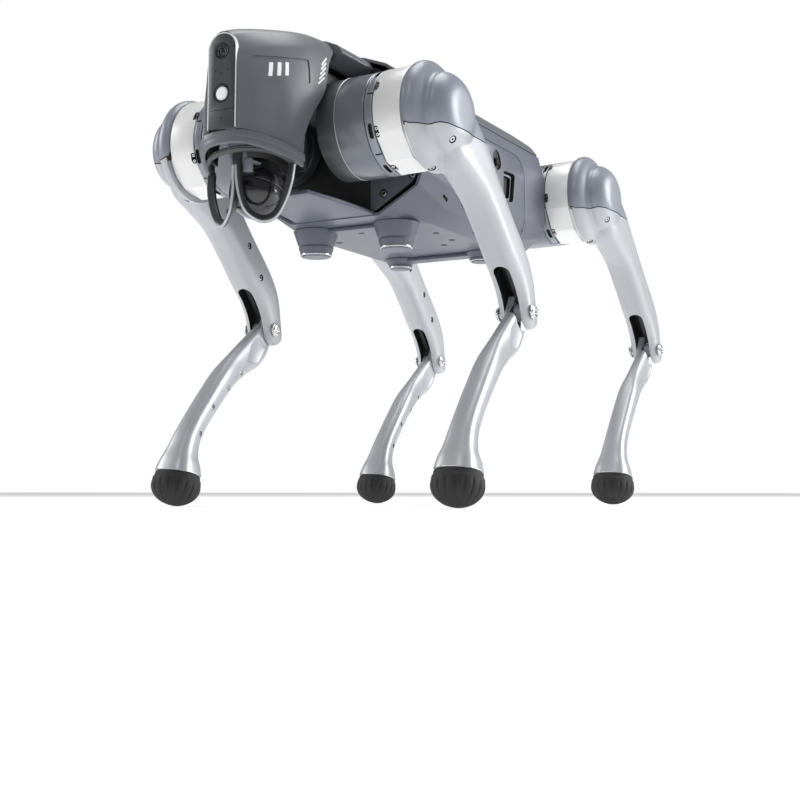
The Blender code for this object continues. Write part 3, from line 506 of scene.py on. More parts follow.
def hip_drum():
    """The bracket that carries the leg: a dark cup and the round hub that turns in the trunk."""
    cup = solid(lathe("Y", [
        (0, -0.0118), (0.0415, -0.0118), (DRUM_RADIUS, -0.0085), (DRUM_RADIUS, 0.0092), (0.0452, 0.0096),
        (0.0452, SLEEVE_START), (0, SLEEVE_START),
    ], 96, 0.0008))
    hub = solid(lathe("X", [
        (0, -0.0468), (0.0315, -0.0468), (HUB_RADIUS, -0.0450), (HUB_RADIUS, -0.0330), (0.0322, -0.0322),
        (0.0322, -0.0312), (HUB_RADIUS, -0.0304), (HUB_RADIUS, -0.0050), (0, -0.0050),
    ], 80, 0.0008))
    return taken(join(cup, hub))


def hip_sleeve():
    """The bracket's glossy outer half."""
    return new_mesh(lathe("Y", [
        (0, SLEEVE_START), (0.0452, SLEEVE_START), (0.0463, 0.0106), (SLEEVE_RADIUS, 0.0384),
        (0.0456, SLEEVE_END), (0, SLEEVE_END),
    ], 96, 0.0006))


def hip_seam():
    """The pale bead between the bracket's two halves."""
    return new_mesh(lathe("Y", [
        (0, 0.0094), (0.0460, 0.0094), (0.0465, 0.0098), (0.0460, 0.0103), (0, 0.0103),
    ], 96, 0.0002))


RING_START = 0.0398
RING_END = 0.0478
RING_POCKETS = (-40, 35, 112, 163, 215, 265)
RING_JOINTS = (-105, -15, 70, 139, 190)


def hip_ring():
    """The light ring between the bracket and the thigh motor, with oval pockets and narrow joints."""
    ring = solid(lathe("Y", [
        (0, RING_START), (0.0455, RING_START), (0.0465, 0.0404), (0.0466, 0.0414), (0.0462, 0.0417),
        (0.0462, 0.0421), (0.0466, 0.0424), (0.0466, 0.0470), (0.0458, RING_END), (0, RING_END),
    ], 96, 0.0004))
    middle = (RING_START + RING_END) / 2 + 0.0010
    pockets = ring_of_cutters(
        lambda: prism("Z", capsule((-0.0048, middle), (0.0048, middle), 0.0020, 12), 0.0440, 0.0490),
        RING_POCKETS,
    )
    joints = ring_of_cutters(
        lambda: brick((-0.0007, RING_START + 0.0022, 0.0448), (0.0007, RING_END + 0.001, 0.0490)),
        RING_JOINTS,
    )
    return taken(cut(ring, *pockets, *joints))


BAND_FROM = 0.0487
BAND_TO = 0.0752
NECK_TO = 0.0786
FLAT_SPAN = math.radians(34.0)
FLATS_START = math.radians(116.0)
FLATS = 4
BAND_SCREWS = [62 + 360 * index / 7 for index in range(7)]
BAND_SCREW_ROW = BAND_FROM + 0.0018


def band_radius(angle):
    """Round above and in front, with flats below."""
    past = (angle - FLATS_START) % math.tau
    if past >= FLATS * FLAT_SPAN:
        return BAND_RADIUS
    offset = past % FLAT_SPAN - FLAT_SPAN / 2
    return BAND_RADIUS * math.cos(FLAT_SPAN / 2) / math.cos(offset)


def motor_band():
    """The thigh motor's pale case, with the neck that the thigh turns on."""
    outline = []
    for index in range(180):
        angle = math.tau * index / 180
        radius = band_radius(angle)
        outline.append((radius * math.sin(angle), radius * math.cos(angle)))
    band = bevelled(solid(prism("Y", outline, BAND_FROM, BAND_TO)), 0.0008, 3, 60)
    join(band, solid(lathe("Y", [
        (0, BAND_FROM + 0.002), (0.0440, BAND_FROM + 0.002), (0.0440, NECK_TO), (0, NECK_TO),
    ], 96, 0.0006)))
    notch = capsule((-0.0030, BAND_SCREW_ROW), (0.0030, BAND_SCREW_ROW), 0.0022)
    notches = ring_of_cutters(lambda: prism("Z", notch, 0.0435, 0.0490), BAND_SCREWS)
    cup = bore("Y", 0.0712, 0.09, 0.0336, segments=64)
    stub = bore("Y", 0.0660, 0.09, 0.0046)
    return taken(cut(band, *notches, cup, stub))


def band_bolts():
    """Two small screws in each notch of the band."""
    meshes = []
    for angle in BAND_SCREWS:
        for side in (-0.0026, 0.0026):
            screw = bolt(0.0015, 0.0012)
            turn = Matrix.Rotation(math.radians(angle), 4, "Y")
            screw.transform(turn @ Matrix.Translation((side, BAND_SCREW_ROW, 0.0450)))
            meshes.append(screw)
    return merged(meshes)


def limb_rings(stations, power, count, per_span):
    """Rings of a limb from (height, back, front, half width) stations."""
    rings = []
    for height, back, front, half_width in smooth_rows(stations, per_span):
        ring = superellipse((front - back) / 2, half_width, power, count)
        rings.append([((back + front) / 2 + across, out, height) for across, out in ring])
    return rings


def head_solid(inset=0.0):
    """The two-lobed shoulder, turned about the pitch axis."""
    profile = [
        (0.0197, 0.0), (0.0195, 0.0130), (0.0187, 0.0198), (0.0168, 0.0256), (0.0138, 0.0304),
        (0.0102, 0.0338), (0.0066, 0.0360), (0.0036, 0.0370), (0.0010, 0.0366), (-0.0016, 0.0388),
        (-0.0050, 0.0448), (-0.0085, 0.0484), (-0.0125, 0.0496), (-0.0158, 0.0494), (-0.0182, 0.0481),
        (HEAD_INNER, 0.0466),
    ]
    smooth = smooth_rows(profile, 3)
    points = [(max(radius - inset, 0.0), out - (inset if out > 0 else 0)) for out, radius in smooth]
    return lathe("Y", points + [(0, HEAD_INNER + inset)], 96, 0)


# Stations of the thigh's beam: height, back, front, half width.
BEAM = (
    (0.006, -0.0240, 0.0190, 0.0150),
    (-0.008, -0.0290, 0.0250, 0.0156),
    (-0.030, -0.0350, 0.0290, 0.0160),
    (-0.055, -0.0355, 0.0190, 0.0161),
    (-0.085, -0.0342, 0.0075, 0.0160),
    (-0.120, -0.0350, 0.0040, 0.0159),
    (-0.150, -0.0371, 0.0032, 0.0160),
    (-0.175, -0.0367, 0.0010, 0.0162),
    (-0.195, -0.0315, 0.0035, 0.0162),
    (-0.213, -0.0215, 0.0112, 0.0158),
    (-0.222, -0.0159, 0.0110, 0.0155),
    (-0.228, -0.0108, 0.0078, 0.0152),
    (-0.2303, -0.0060, 0.0036, 0.0150),
)


def thigh_solid():
    """Beam and head in one casting."""
    whole = join(solid(head_solid()), solid(loft(limb_rings(BEAM, 3.6, 64, 4))))
    return remeshed(whole, 0.0011, 7)


# Height of the shoulder cap's lower edge along the standing up axis, at each place outboard.
PARTING = (
    (-0.0400, -0.0100), (-0.0192, -0.0100), (-0.0182, -0.0138), (-0.0110, -0.0163), (0.0020, -0.0162),
    (0.0100, -0.0148), (0.0150, -0.0155), (0.0180, -0.0168), (0.0300, -0.0172),
)


def parting_tool(drop, above):
    """Everything on one side of the stepped parting surface of the shoulder cap."""
    line = [(y, z - drop) for y, z in PARTING]
    reach = 0.10 if above else -0.30
    outline = line + [(0.0300, reach), (-0.0400, reach)]
    return solid(prism("X", outline, -0.3, 0.3), True, TO_THIGH)


def fork_tools():
    """The slot between the fork's prongs, round at its top, and the hole for the knee's axle."""
    below = -0.25
    angles = [math.radians(degrees) for degrees in range(0, 181, 20)]
    arch = [
        (FORK_HALF_GAP * math.cos(angle), FORK_TOP - FORK_HALF_GAP + FORK_HALF_GAP * math.sin(angle))
        for angle in angles
    ]
    outline = arch + [(-FORK_HALF_GAP, below), (FORK_HALF_GAP, below)]
    front = solid(prism("X", outline, FORK_BACK, 0.06), True)
    tip_top = (FORK_BACK + 0.001, FORK_HALF_GAP, -LIMB + 0.004)
    tips = solid(brick((-0.06, -FORK_HALF_GAP, below), tip_top), True)
    return front, tips, bore("Y", -0.03, 0.03, KNEE_BORE, (0, -LIMB))


# Screws of the thigh's inner half, as (x, y, z) in the thigh's frame, and those of the head when standing.
LIMB_SCREWS = ((-0.0066, -0.030, -0.0729), (-0.0170, -0.030, -0.1191), (-0.0138, -0.030, -0.1561))
HEAD_SCREWS = ((0.0140, 0.0135, -0.0275), (0.0080, -0.0090, -0.0520))


def bolt_seats(whole):
    """Each screw's place on the casting's surface, and the way it faces."""
    seats = []
    starts = [Vector(place) for place in LIMB_SCREWS] + [TO_THIGH @ Vector(place) for place in HEAD_SCREWS]
    for start in starts:
        found, place, normal, index = whole.closest_point_on_mesh(start)
        seats.append((place.copy(), normal.copy()))
    return seats


def thigh_casting(whole, seats):
    """The thigh below the shoulder cap, hollow for the knee motor and the push rod."""
    channel = solid(brick((-0.0158, -0.0098, FORK_TOP - 0.01), (0.0004, 0.0066, -0.015)), True)
    cavity = bore("Y", -0.0245, 0.0080, 0.0340, segments=64)
    inner_edge = brick((-0.1, -0.05, -0.1), (0.1, HEAD_INNER + 0.0036, 0.1))
    body = cut(whole, parting_tool(0.0009, True), cavity, channel, *fork_tools())
    cut(body, solid(inner_edge))
    for place, normal in seats:
        recess = rod("Z", -0.0022, 0.0100, 0.0036, segments=28)
        cut(body, solid(recess, True, facing(normal, place)))
    return taken(body)


def thigh_bolts(seats):
    return bolts_at(0.0025, 0.0014, [(normal, place - 0.0020 * normal) for place, normal in seats])


def shoulder_cap(whole):
    cavity = bore("Y", -0.0300, 0.0083, 0.0343, segments=64)
    neck = bore("Y", -0.0300, HEAD_INNER + 0.0040, 0.0446, segments=96)
    return taken(cut(whole, parting_tool(0.0, False), cavity, neck))


def cap_gap_shade():
    """The black sheet that shows in the gap under the shoulder cap: painted shade for the gap's shadow."""
    shell = solid(head_solid(0.0014))
    line = [(y, z - 0.0030) for y, z in PARTING] + [(y, z + 0.0030) for y, z in reversed(PARTING)]
    combine(shell, solid(prism("X", line, -0.08, 0.08), False, TO_THIGH), "INTERSECT")
    cavity = bore("Y", -0.0400, 0.0085, 0.0346, segments=64)
    neck = bore("Y", -0.0400, HEAD_INNER + 0.0042, 0.0450, segments=96)
    return taken(cut(shell, cavity, neck))


def knee_bolt():
    """The knee's axle with a flanged head at each end."""
    half = [
        (0.0046, 0.0), (0.0046, 0.0163), (0.0072, 0.0163), (0.0072, 0.0176), (0.0068, 0.0181),
        (0.0058, 0.0181), (0.0056, 0.0196), (0.0030, 0.0199), (0.0027, 0.0188), (0.0, 0.0188),
    ]
    profile = [(r, -y) for r, y in reversed(half)] + half[1:]
    return new_mesh(lathe("Y", profile, 48, 0.0003))


def boot_axis():
    """Which way the foot points, in the shank's frame."""
    angle = BOOT_LEAN + SHANK_PITCH
    return math.sin(angle), -math.cos(angle)


def boot_place():
    down_x, down_z = boot_axis()
    return KNEE_PIVOT @ Matrix.Rotation(math.atan2(-down_x, -down_z), 4, "Y")


def shank_rings():
    """The S-shaped limb. Stations: centre x, z, half depth, half width, share of the boot's lean."""
    down_x, down_z = boot_axis()
    top_x, top_z = -down_x * (BOOT_TOP + 0.0004), -LIMB - down_z * (BOOT_TOP + 0.0004)
    stations = [
        (-0.0010, 0.0000, 0.0115, 0.0073, 0.0),
        (-0.0025, -0.0150, 0.0160, 0.0073, 0.0),
        (0.0005, -0.0350, 0.0178, 0.0073, 0.0),
        (0.0090, -0.0600, 0.0150, 0.0078, 0.0),
        (0.0160, -0.0870, 0.0126, 0.0104, 0.0),
        (0.0188, -0.1200, 0.0114, 0.0110, 0.0),
        (0.0198, -0.1480, 0.0110, 0.0112, 0.0),
        (0.0185, -0.1680, 0.0118, 0.0120, 0.25),
        (0.0145, -0.1830, 0.0140, 0.0142, 0.62),
        (top_x + 0.0042, top_z + 0.0085, 0.0176, 0.0178, 0.9),
        (top_x, top_z, 0.0200, 0.0200, 1.0),
    ]
    tilt = math.atan2(down_x, -down_z)
    rings = []
    for x, z, half_depth, half_width, lean in smooth_rows(stations, 5):
        turn = tilt * lean
        ring = superellipse(half_depth, half_width, 2.9, 56)
        rings.append([(x + a * math.cos(turn), out, z + a * math.sin(turn)) for a, out in ring])
    return rings


SHANK_SCREWS = ((0.0038, -0.0676), (0.0121, -0.0965), (0.0193, -0.1277), (0.0167, -0.1609))


LEVER_LENGTH = 0.0130
LEVER_LEAN = -SHANK_PITCH + math.radians(-5.0)


def shank_side(place):
    """How far out the limb's side is at a screw: the half width there."""
    return 0.0078 if place[1] > -0.08 else 0.0108


def shank():
    """The lower limb with its knuckle, the rod's lever and the peg that the boot fits on."""
    body = solid(loft(shank_rings()))
    pocket = [
        (-0.0125, -0.0170), (0.0100, -0.0160), (0.0118, -0.0330), (0.0050, -0.0520), (-0.0110, -0.0400),
    ]
    cut(body, bore("Y", 0.0001, 0.03, 0.0180, segments=64))
    for side in (-1, 1):
        inner, outer = sorted((side * 0.0062, side * 0.0120))
        cut(body, bevelled(solid(prism("Y", pocket, inner, outer)), 0.0022, 3, 60))
    for place in SHANK_SCREWS:
        reach = shank_side(place)
        cut(body, bore("Y", -reach - 0.01, -reach + 0.0012, 0.0026, place, 28))
    disc = solid(rod("Y", -0.00725, 0.0072, 0.0083, segments=48))
    lever = solid(prism("Y", lever_outline(), -0.0072, -0.0004))
    lever_end = (LEVER_LENGTH * math.sin(LEVER_LEAN), LEVER_LENGTH * math.cos(LEVER_LEAN))
    pin = solid(rod("Y", -0.0030, 0.0060, 0.0022, lever_end, 24))
    peg = solid(rod("Z", BOOT_TOP - 0.0062, BOOT_TOP + 0.0060, 0.0090), False, boot_place())
    join(body, disc, lever, pin, peg)
    return taken(cut(body, bore("Y", -0.03, 0.03, KNEE_BORE)))


def lever_outline():
    """A tapered plate from the knee's knuckle to the rod's pin."""
    points = []
    for centre, radius, start in ((0.0, 0.0115, 180), (LEVER_LENGTH, 0.0042, 0)):
        for step in range(13):
            angle = math.radians(start + 180 * step / 12)
            x, z = radius * math.cos(angle), centre + radius * math.sin(angle)
            points.append((
                x * math.cos(LEVER_LEAN) + z * math.sin(LEVER_LEAN),
                z * math.cos(LEVER_LEAN) - x * math.sin(LEVER_LEAN),
            ))
    return points


def shank_rim():
    """The thin bright ring where the limb meets the boot."""
    ring = lathe("Z", [(0.0190, 0.0126), (0.0206, 0.0126), (0.0206, 0.0136), (0.0190, 0.0136)], 72, 0.0003)
    bmesh.ops.holes_fill(ring, edges=ring.edges)
    bmesh.ops.transform(ring, matrix=boot_place(), verts=ring.verts)
    return new_mesh(ring)


def shank_bolts():
    inward = (0, -1, 0)
    places = [(inward, (x, -shank_side((x, z)) + 0.0008, z)) for x, z in SHANK_SCREWS]
    return bolts_at(0.0021, 0.0007, places)


BOOT_GROOVES = 18
GROOVE_SHARE = 0.045
GROOVE_TOP = 0.0058
GROOVE_START = 0.0120
GROOVE_FADE = 0.004


def boot():
    """The rubber foot: a flattened round sole with upright grooves round it and a moulded lip."""
    depth = SOLE_DEPTH - 0.0002
    profile = [
        (0.0, BOOT_TOP), (0.0200, BOOT_TOP), (0.0214, 0.0113), (0.0218, 0.0080), (0.0228, 0.0068),
        (0.0232, 0.0030),
    ]
    for step in range(16):
        angle = math.radians(90 / 16) * step
        profile.append((FOOT_RADIUS * math.cos(angle), -depth * math.sin(angle)))
    profile.append((0.0, -depth))
    body = solid(lathe("Z", profile, 144, 0.0005))
    for vertex in body.data.vertices:
        radius = math.hypot(vertex.co.x, vertex.co.y)
        if radius < GROOVE_START or vertex.co.z > GROOVE_TOP:
            continue
        around = math.atan2(vertex.co.y, vertex.co.x)
        wave = math.cos(around * BOOT_GROOVES)
        fade_up = min(1.0, (GROOVE_TOP - vertex.co.z) / GROOVE_FADE)
        fade_in = min(1.0, (radius - GROOVE_START) / GROOVE_FADE)
        groove = max(0.0, (wave - 0.55) / 0.45) ** 0.5
        vertex.co.x *= 1 - GROOVE_SHARE * groove * (fade_up * fade_in)
        vertex.co.y *= 1 - GROOVE_SHARE * groove * (fade_up * fade_in)
    cut(body, bore("Z", BOOT_TOP - 0.0070, BOOT_TOP + 0.01, 0.0093))
    mesh = taken(body)
    mesh.transform(boot_place())
    return mesh


def frame_at(place, y_axis, z_axis):
    """The matrix of a frame with these two axes, at a place."""
    x_axis = y_axis.cross(z_axis).normalized()
    rotation = Matrix((x_axis, y_axis, x_axis.cross(y_axis))).transposed()
    return Matrix.Translation(place) @ rotation.to_4x4()


def leg_frames(prefix):
    """The hip, thigh and shank frames of a leg, from the record's joints."""
    swing = Vector(JOINTS[prefix + "_abduction"]["pos_m"])
    pitch = Vector(JOINTS[prefix + "_pitch"]["pos_m"])
    knee = Vector(JOINTS[prefix + "_knee"]["pos_m"])
    across = Vector(JOINTS[prefix + "_pitch"]["axis"])
    across = (across if across.y > 0 else -across).normalized()
    hip = frame_at(swing, across, Vector((0, 0, 1)) - across * across.z)
    thigh = frame_at(pitch, across, (pitch - knee).normalized())
    shank_frame = thigh.copy()
    shank_frame.translation = knee
    return hip, thigh, shank_frame @ Matrix.Rotation(KNEE_BEND, 4, "Y")


def build_legs():
    """Every leg's pieces, from one set of meshes."""
    whole = thigh_solid()
    seats = bolt_seats(whole)
    cap = shoulder_cap(copy_of(whole))
    casting = thigh_casting(whole, seats)
    # Each row: piece, mesh, finish, body, frame (0 hip, 1 thigh, 2 shank), CAD nodes it stands for.
    rows = (
        ("hip_drum", hip_drum(), "drum_dark", "hip", 0, ("hip_bracket",)),
        ("hip_sleeve", hip_sleeve(), "sleeve_blue", "hip", 0, ()),
        ("hip_seam", hip_seam(), "guard_edge", "hip", 0, ()),
        ("hip_ring", hip_ring(), "ring_silver", "hip", 0, ()),
        ("motor_band", motor_band(), "band_white", "hip", 0, ("thigh_motor",)),
        ("band_bolts", band_bolts(), "steel", "hip", 0, ()),
        ("thigh_casting", casting, "limb_silver", "thigh", 1, ("thigh_shell", "thigh_cover")),
        ("cap_shell", cap, "cap_blue", "thigh", 1, ("shoulder_cap",)),
        # painted shade: a black sheet in the gap under the shoulder cap
        ("cap_gap_shade", cap_gap_shade(), "painted_shade_black", "thigh", 1, ()),
        ("thigh_bolts", thigh_bolts(seats), "steel", "thigh", 1, ()),
        ("knee_bolt", knee_bolt(), "steel", "thigh", 1, ("knee_axle",)),
        ("shank_limb", shank(), "limb_silver", "shank", 2, ("shank",)),
        ("shank_rim", shank_rim(), "band_white", "shank", 2, ()),
        ("shank_bolts", shank_bolts(), "steel", "shank", 2, ()),
        ("boot", boot(), "rubber", "shank", 2, ("foot",)),
    )
    for prefix, end, side in LEGS:
        frames = leg_frames(prefix)
        for name, mesh, finish, body, index, nodes in rows:
            x_sign = end if index == 0 else 1
            place = frames[index] @ (KNEE_PIVOT if name == "knee_bolt" else Matrix.Identity(4))
            copy = mirrored(mesh, x_sign, side)
            replaced = [f"{prefix}_{node}" for node in nodes]
            piece(f"{prefix}_{name}", copy, finish, f"{prefix}_{body}", place, replaced)


# Trunk pieces.


def soft(outline, size, steps=3):
    """A closed outline with every corner rounded."""
    points = []
    count = len(outline)
    for index in range(count):
        corner = Vector(outline[index])
        back = Vector(outline[index - 1]) - corner
        ahead = Vector(outline[(index + 1) % count]) - corner
        reach = min(size, back.length * 0.45, ahead.length * 0.45)
        start, end = corner + back.normalized() * reach, corner + ahead.normalized() * reach
        for step in range(steps + 1):
            t = step / steps
            point = start * (1 - t) ** 2 + corner * (2 * t * (1 - t)) + end * t**2
            points.append((point.x, point.y))
    return points


def both_sides(half):
    """A closed (y, z) outline from the points of its left half, listed from the top down."""
    return half + [(-y, z) for y, z in reversed(half)]


# Hood stations: x, half width high up and low down, top height.
HOOD_STATIONS = (
    (0.2045, 0.0450, 0.0460, 0.0876),
    (0.2300, 0.0455, 0.0465, 0.0856),
    (0.2600, 0.0460, 0.0475, 0.0795),
    (0.2850, 0.0390, 0.0447, 0.0735),
    (0.3020, 0.0310, 0.0362, 0.0690),
    (0.3140, 0.0240, 0.0292, 0.0652),
    (0.3215, 0.0190, 0.0225, 0.0622),
    (0.3262, 0.0160, 0.0180, 0.0602),
)
HOOD_WIDE_Z = (-0.0200, 0.0500)
HOOD_DEPTH = -0.0800
# Share of the half width, and depth below the top, from the foot up to the middle of the top.
HOOD_SECTION = (
    (1.000, 0.0700), (0.994, 0.0600), (0.976, 0.0480), (0.960, 0.0400), (0.918, 0.0290), (0.868, 0.0205),
    (0.852, 0.0186), (0.620, 0.0060), (0.480, 0.0028), (0.300, 0.0009), (0.120, 0.0001),
)


def head_loft(inset, shift=0.0, behind=None):
    """The hood's solid, drawn in by an inset, and longer towards the back if behind gives an x."""
    stations = smooth_rows(HOOD_STATIONS, 5)
    rows = [(behind, *HOOD_STATIONS[0][1:])] if behind else []
    rows += [(x + shift, *rest) for x, *rest in stations]
    rings = []
    for x, high_width, low_width, top in rows:
        left = [(1.0, HOOD_DEPTH)] + [(share, top - inset - depth) for share, depth in HOOD_SECTION]
        ring = []
        for share, z in left:
            drop = (HOOD_WIDE_Z[1] - z) / (HOOD_WIDE_Z[1] - HOOD_WIDE_Z[0])
            half_width = high_width + (low_width - high_width) * min(drop, 1.0)
            ring.append((x, share * (half_width - inset), z))
        rings.append(ring + [(x, -y, z) for x, y, z in reversed(ring)])
    return loft(rings)


def seam_tool(front_z, above):
    """Everything above or below a plane that falls towards the back, as the hood's lower edge does."""
    far = 0.2 if above else -0.2
    outline = [(x, front_z - SEAM_SLOPE * (NOSE_X - x)) for x in (0.15, 0.35)]
    return solid(prism("Y", outline + [(0.35, far), (0.15, far)], -0.1, 0.1))


# Outlines on the hood's side, as (x, z): the arch over the hip, the sunk plate and the strokes' corners.
ARCH = (
    (0.1900, 0.0725), (0.2080, 0.0725), (0.2150, 0.0655), (0.2245, 0.0550), (0.2305, 0.0430),
    (0.2345, 0.0300), (0.2400, 0.0215), (0.2480, 0.0120), (0.2563, 0.0030), (0.2640, -0.0090),
    (0.2700, -0.0215), (0.2740, -0.0600), (0.2740, -0.1200), (0.1900, -0.1200),
)
PLATE = ((0.3150, 0.0392), (0.2592, 0.0478), (0.2608, 0.0255), (0.3150, 0.0172))
STRIPES = ((0.2372, 0.0550), (0.2271, 0.0579), (0.2385, 0.0318), (0.2493, 0.0299))
STRIPE_COUNT = 5
FACE_HALF_WIDTH = 0.0130
FACE_LOW = -0.0238
FACE_HIGH = 0.0575
LENS_Z = 0.0427
LAMP_Z = 0.0062


def face_outline(half_width, low, high):
    """A strip with a round top, as (y, z)."""
    points = [(-half_width, low), (half_width, low)]
    for step in range(33):
        angle = math.pi * step / 32
        points.append((half_width * math.cos(angle), high - half_width + half_width * math.sin(angle)))
    return points


def skin_marks(outlines, depth_top, depth_low):
    """Slices of the hood's skin inside each (x, z) outline, between two depths below the surface."""
    slab = solid(head_loft(depth_top))
    cut(slab, solid(head_loft(depth_low)))
    found = []
    for outline in outlines:
        found.append(combine(copy_of(slab), solid(prism("Y", outline, -0.08, 0.08)), "INTERSECT"))
    bpy.data.objects.remove(slab)
    return found


def stripe_outlines():
    """Slanted strokes along the hood's edge."""
    made = []
    (x0, z0), (x1, z1), (x2, z2), (x3, z3) = STRIPES
    for index in range(STRIPE_COUNT):
        t = (index + 0.5) / STRIPE_COUNT
        front = Vector((x0 + (x3 - x0) * t, z0 + (z3 - z0) * t - 0.0030))
        back = Vector((x1 + (x2 - x1) * t, z1 + (z2 - z1) * t + 0.0030))
        made.append(capsule(front, back, 0.0008, 4))
    return made


def bar_outlines():
    """A generic mark: three slanted bars."""
    made = []
    for index in range(3):
        x = 0.2860 + 0.0075 * index
        z = 0.0330 - 0.0017 * index
        corners = [
            (x - 0.0036, z + 0.0068), (x - 0.0002, z + 0.0062),
            (x + 0.0022, z - 0.0064), (x - 0.0012, z - 0.0058),
        ]
        made.append(soft(corners, 0.0004, 2))
    return made


def hood():
    """The head's shell, open below and behind, with the face's window and a sunk plate on each side."""
    shell = solid(head_loft(0.0))
    inner = solid(head_loft(0.0026, -0.0030, 0.19), True)
    opening = face_outline(FACE_HALF_WIDTH + 0.0004, FACE_LOW - 0.02, FACE_HIGH + 0.0004)
    window = solid(prism("X", opening, 0.31, 0.34), True)
    arch = solid(prism("Y", ARCH, -0.1, 0.1))
    cut(shell, inner, seam_tool(SEAM_FRONT_Z, False), arch, window)
    plate = cut(solid(head_loft(-0.001)), solid(head_loft(0.0010)))
    combine(plate, solid(prism("Y", soft(PLATE, 0.0022), -0.08, 0.08)), "INTERSECT")
    return taken(cut(shell, plate))


def hood_mark():
    marks = skin_marks(bar_outlines(), 0.00085, 0.0012) + skin_marks(stripe_outlines(), -0.00006, 0.0004)
    return merged([taken(mark) for mark in marks])


# Half of the collar's outer edge seen from above, as (x, y), and where its two bands meet on the nose.
COLLAR_EDGE = (
    (0.2300, 0.0465), (0.2600, 0.0475), (0.2850, 0.0447), (0.3020, 0.0368), (0.3140, 0.0288),
    (0.3222, 0.0195), (0.3254, 0.0090), (0.3260, 0.0012),
)
COLLAR_STEP_Z = -0.0312
LEAST_HALF_WIDTH = 0.0006


def collar_outline(shift, widen):
    front = []
    for x, half_width in smooth_rows(COLLAR_EDGE, 4):
        front.append((x + shift, max(half_width + widen, LEAST_HALF_WIDTH)))
    return front + [(x, -width) for x, width in reversed(front)]


def collar_band(widen, top, low):
    outer = solid(prism("Z", collar_outline(0.0, widen), -0.10, 0.0))
    inner = solid(prism("Z", collar_outline(-0.0030, -0.0013), -0.11, 0.01), True)
    back = solid(brick((0.2, -0.1, -0.2), (0.2735, 0.1, 0.1)))
    cut(outer, inner, seam_tool(top, True), seam_tool(low, False), back)
    return bevelled(outer, 0.0005, 2, 50)


def collar():
    """The band under the hood: a wider upper part over a narrower lip."""
    upper = collar_band(0.0022, SEAM_FRONT_Z - 0.0006, COLLAR_STEP_Z)
    lower = collar_band(0.0012, COLLAR_STEP_Z + 0.0006, LIP_FRONT_Z)
    return taken(join(upper, lower))


def face_strip():
    """The dark strip on the nose, with seats for the lens and the lamp, pinholes and a seam."""
    outline = face_outline(FACE_HALF_WIDTH, FACE_LOW, FACE_HIGH)
    strip = bevelled(solid(prism("X", outline, 0.3235, 0.3274)), 0.0005, 2, 50)
    for centre_z, radius in ((LENS_Z, 0.0070), (LAMP_Z, 0.0082)):
        cut(strip, bore("X", 0.32, 0.34, radius, (0, centre_z), 64))
    for y, z in ((0.0062, 0.0262), (-0.0062, 0.0262), (0.0, 0.0228), (0.0, -0.0150)):
        cut(strip, bore("X", 0.3270, 0.34, 0.0007, (y, z), 20))
    return taken(cut(strip, solid(brick((0.3268, -0.02, -0.0082), (0.34, 0.02, -0.0078)), True)))


def face_edge_highlight():
    """A pale line round the face strip: painted highlight along the hood's edge round the window."""
    outside = face_outline(FACE_HALF_WIDTH + 0.0014, FACE_LOW, FACE_HIGH + 0.0014)
    inside = face_outline(FACE_HALF_WIDTH + 0.0003, FACE_LOW - 0.01, FACE_HIGH + 0.0003)
    rim = solid(prism("X", outside, 0.3240, 0.3269))
    return taken(cut(rim, solid(prism("X", inside, 0.31, 0.34), True)))


def turned_at(profile, z):
    """A round part of the face, turned about an axis along x."""
    bm = lathe("X", profile, 72, 0.0003)
    bmesh.ops.translate(bm, vec=(0, 0, z), verts=bm.verts)
    return new_mesh(bm)


def camera_lens():
    return turned_at([
        (0, 0.3172), (0.0064, 0.3172), (0.0064, 0.3277), (0.0056, 0.3277), (0.0053, 0.3268),
        (0.0044, 0.3266), (0.0042, 0.3274), (0.0036, 0.3274), (0.0033, 0.3262), (0.0020, 0.3268),
        (0, 0.3270),
    ], LENS_Z)


def headlamp_rim():
    return turned_at([
        (0, 0.3182), (0.0076, 0.3182), (0.0076, 0.3277), (0.0068, 0.3277), (0.0062, 0.3264), (0, 0.3264),
    ], LAMP_Z)


def headlamp_disc():
    return turned_at([
        (0, 0.3250), (0.0058, 0.3250), (0.0058, 0.3270), (0.0045, 0.3275), (0, 0.3277),
    ], LAMP_Z)


LIDAR_SEAT = Matrix.Translation(LIDAR_CENTRE) @ Matrix.Rotation(-LIDAR_TILT, 4, "Y")


DOME_RADIUS = 0.0239
DOME_DEPTH = 0.0229
DOME_EDGE_Z = -0.0020


def lidar_dome():
    """The sensor's spinning dome: a drum with a seam, a window and a round underside."""
    profile = [
        (0.0, 0.0119), (0.0213, 0.0119), (DOME_RADIUS, 0.0093), (DOME_RADIUS, 0.0010),
        (0.0234, 0.0004), (DOME_RADIUS, -0.0004), (DOME_RADIUS, DOME_EDGE_Z),
    ]
    for step in range(1, 15):
        angle = math.radians(6) * step
        profile.append((DOME_RADIUS * math.cos(angle), DOME_EDGE_Z - DOME_DEPTH * math.sin(angle)))
    profile.append((0.0, DOME_EDGE_Z - DOME_DEPTH))
    dome = solid(lathe("Z", profile, 96, 0.0004))
    join(dome, solid(rod("Z", 0.0060, 0.0178, 0.0060)))
    window = bevelled(solid(brick((0.0150, -0.0120, -0.0080), (0.0300, 0.0120, 0.0060))), 0.0010)
    mesh = taken(cut(dome, window))
    mesh.transform(LIDAR_SEAT)
    return mesh


# The left hoop of the guard, from the collar's middle down, under the dome and up at the side.
HOOP = (
    (0.3025, 0.0012, -0.0380), (0.3036, 0.0012, -0.0540), (0.3020, 0.0022, -0.0710),
    (0.3000, 0.0060, -0.0850), (0.2972, 0.0120, -0.0925), (0.2925, 0.0200, -0.0962),
    (0.2885, 0.0290, -0.0925), (0.2862, 0.0360, -0.0800), (0.2845, 0.0402, -0.0650),
    (0.2825, 0.0415, -0.0500),
)


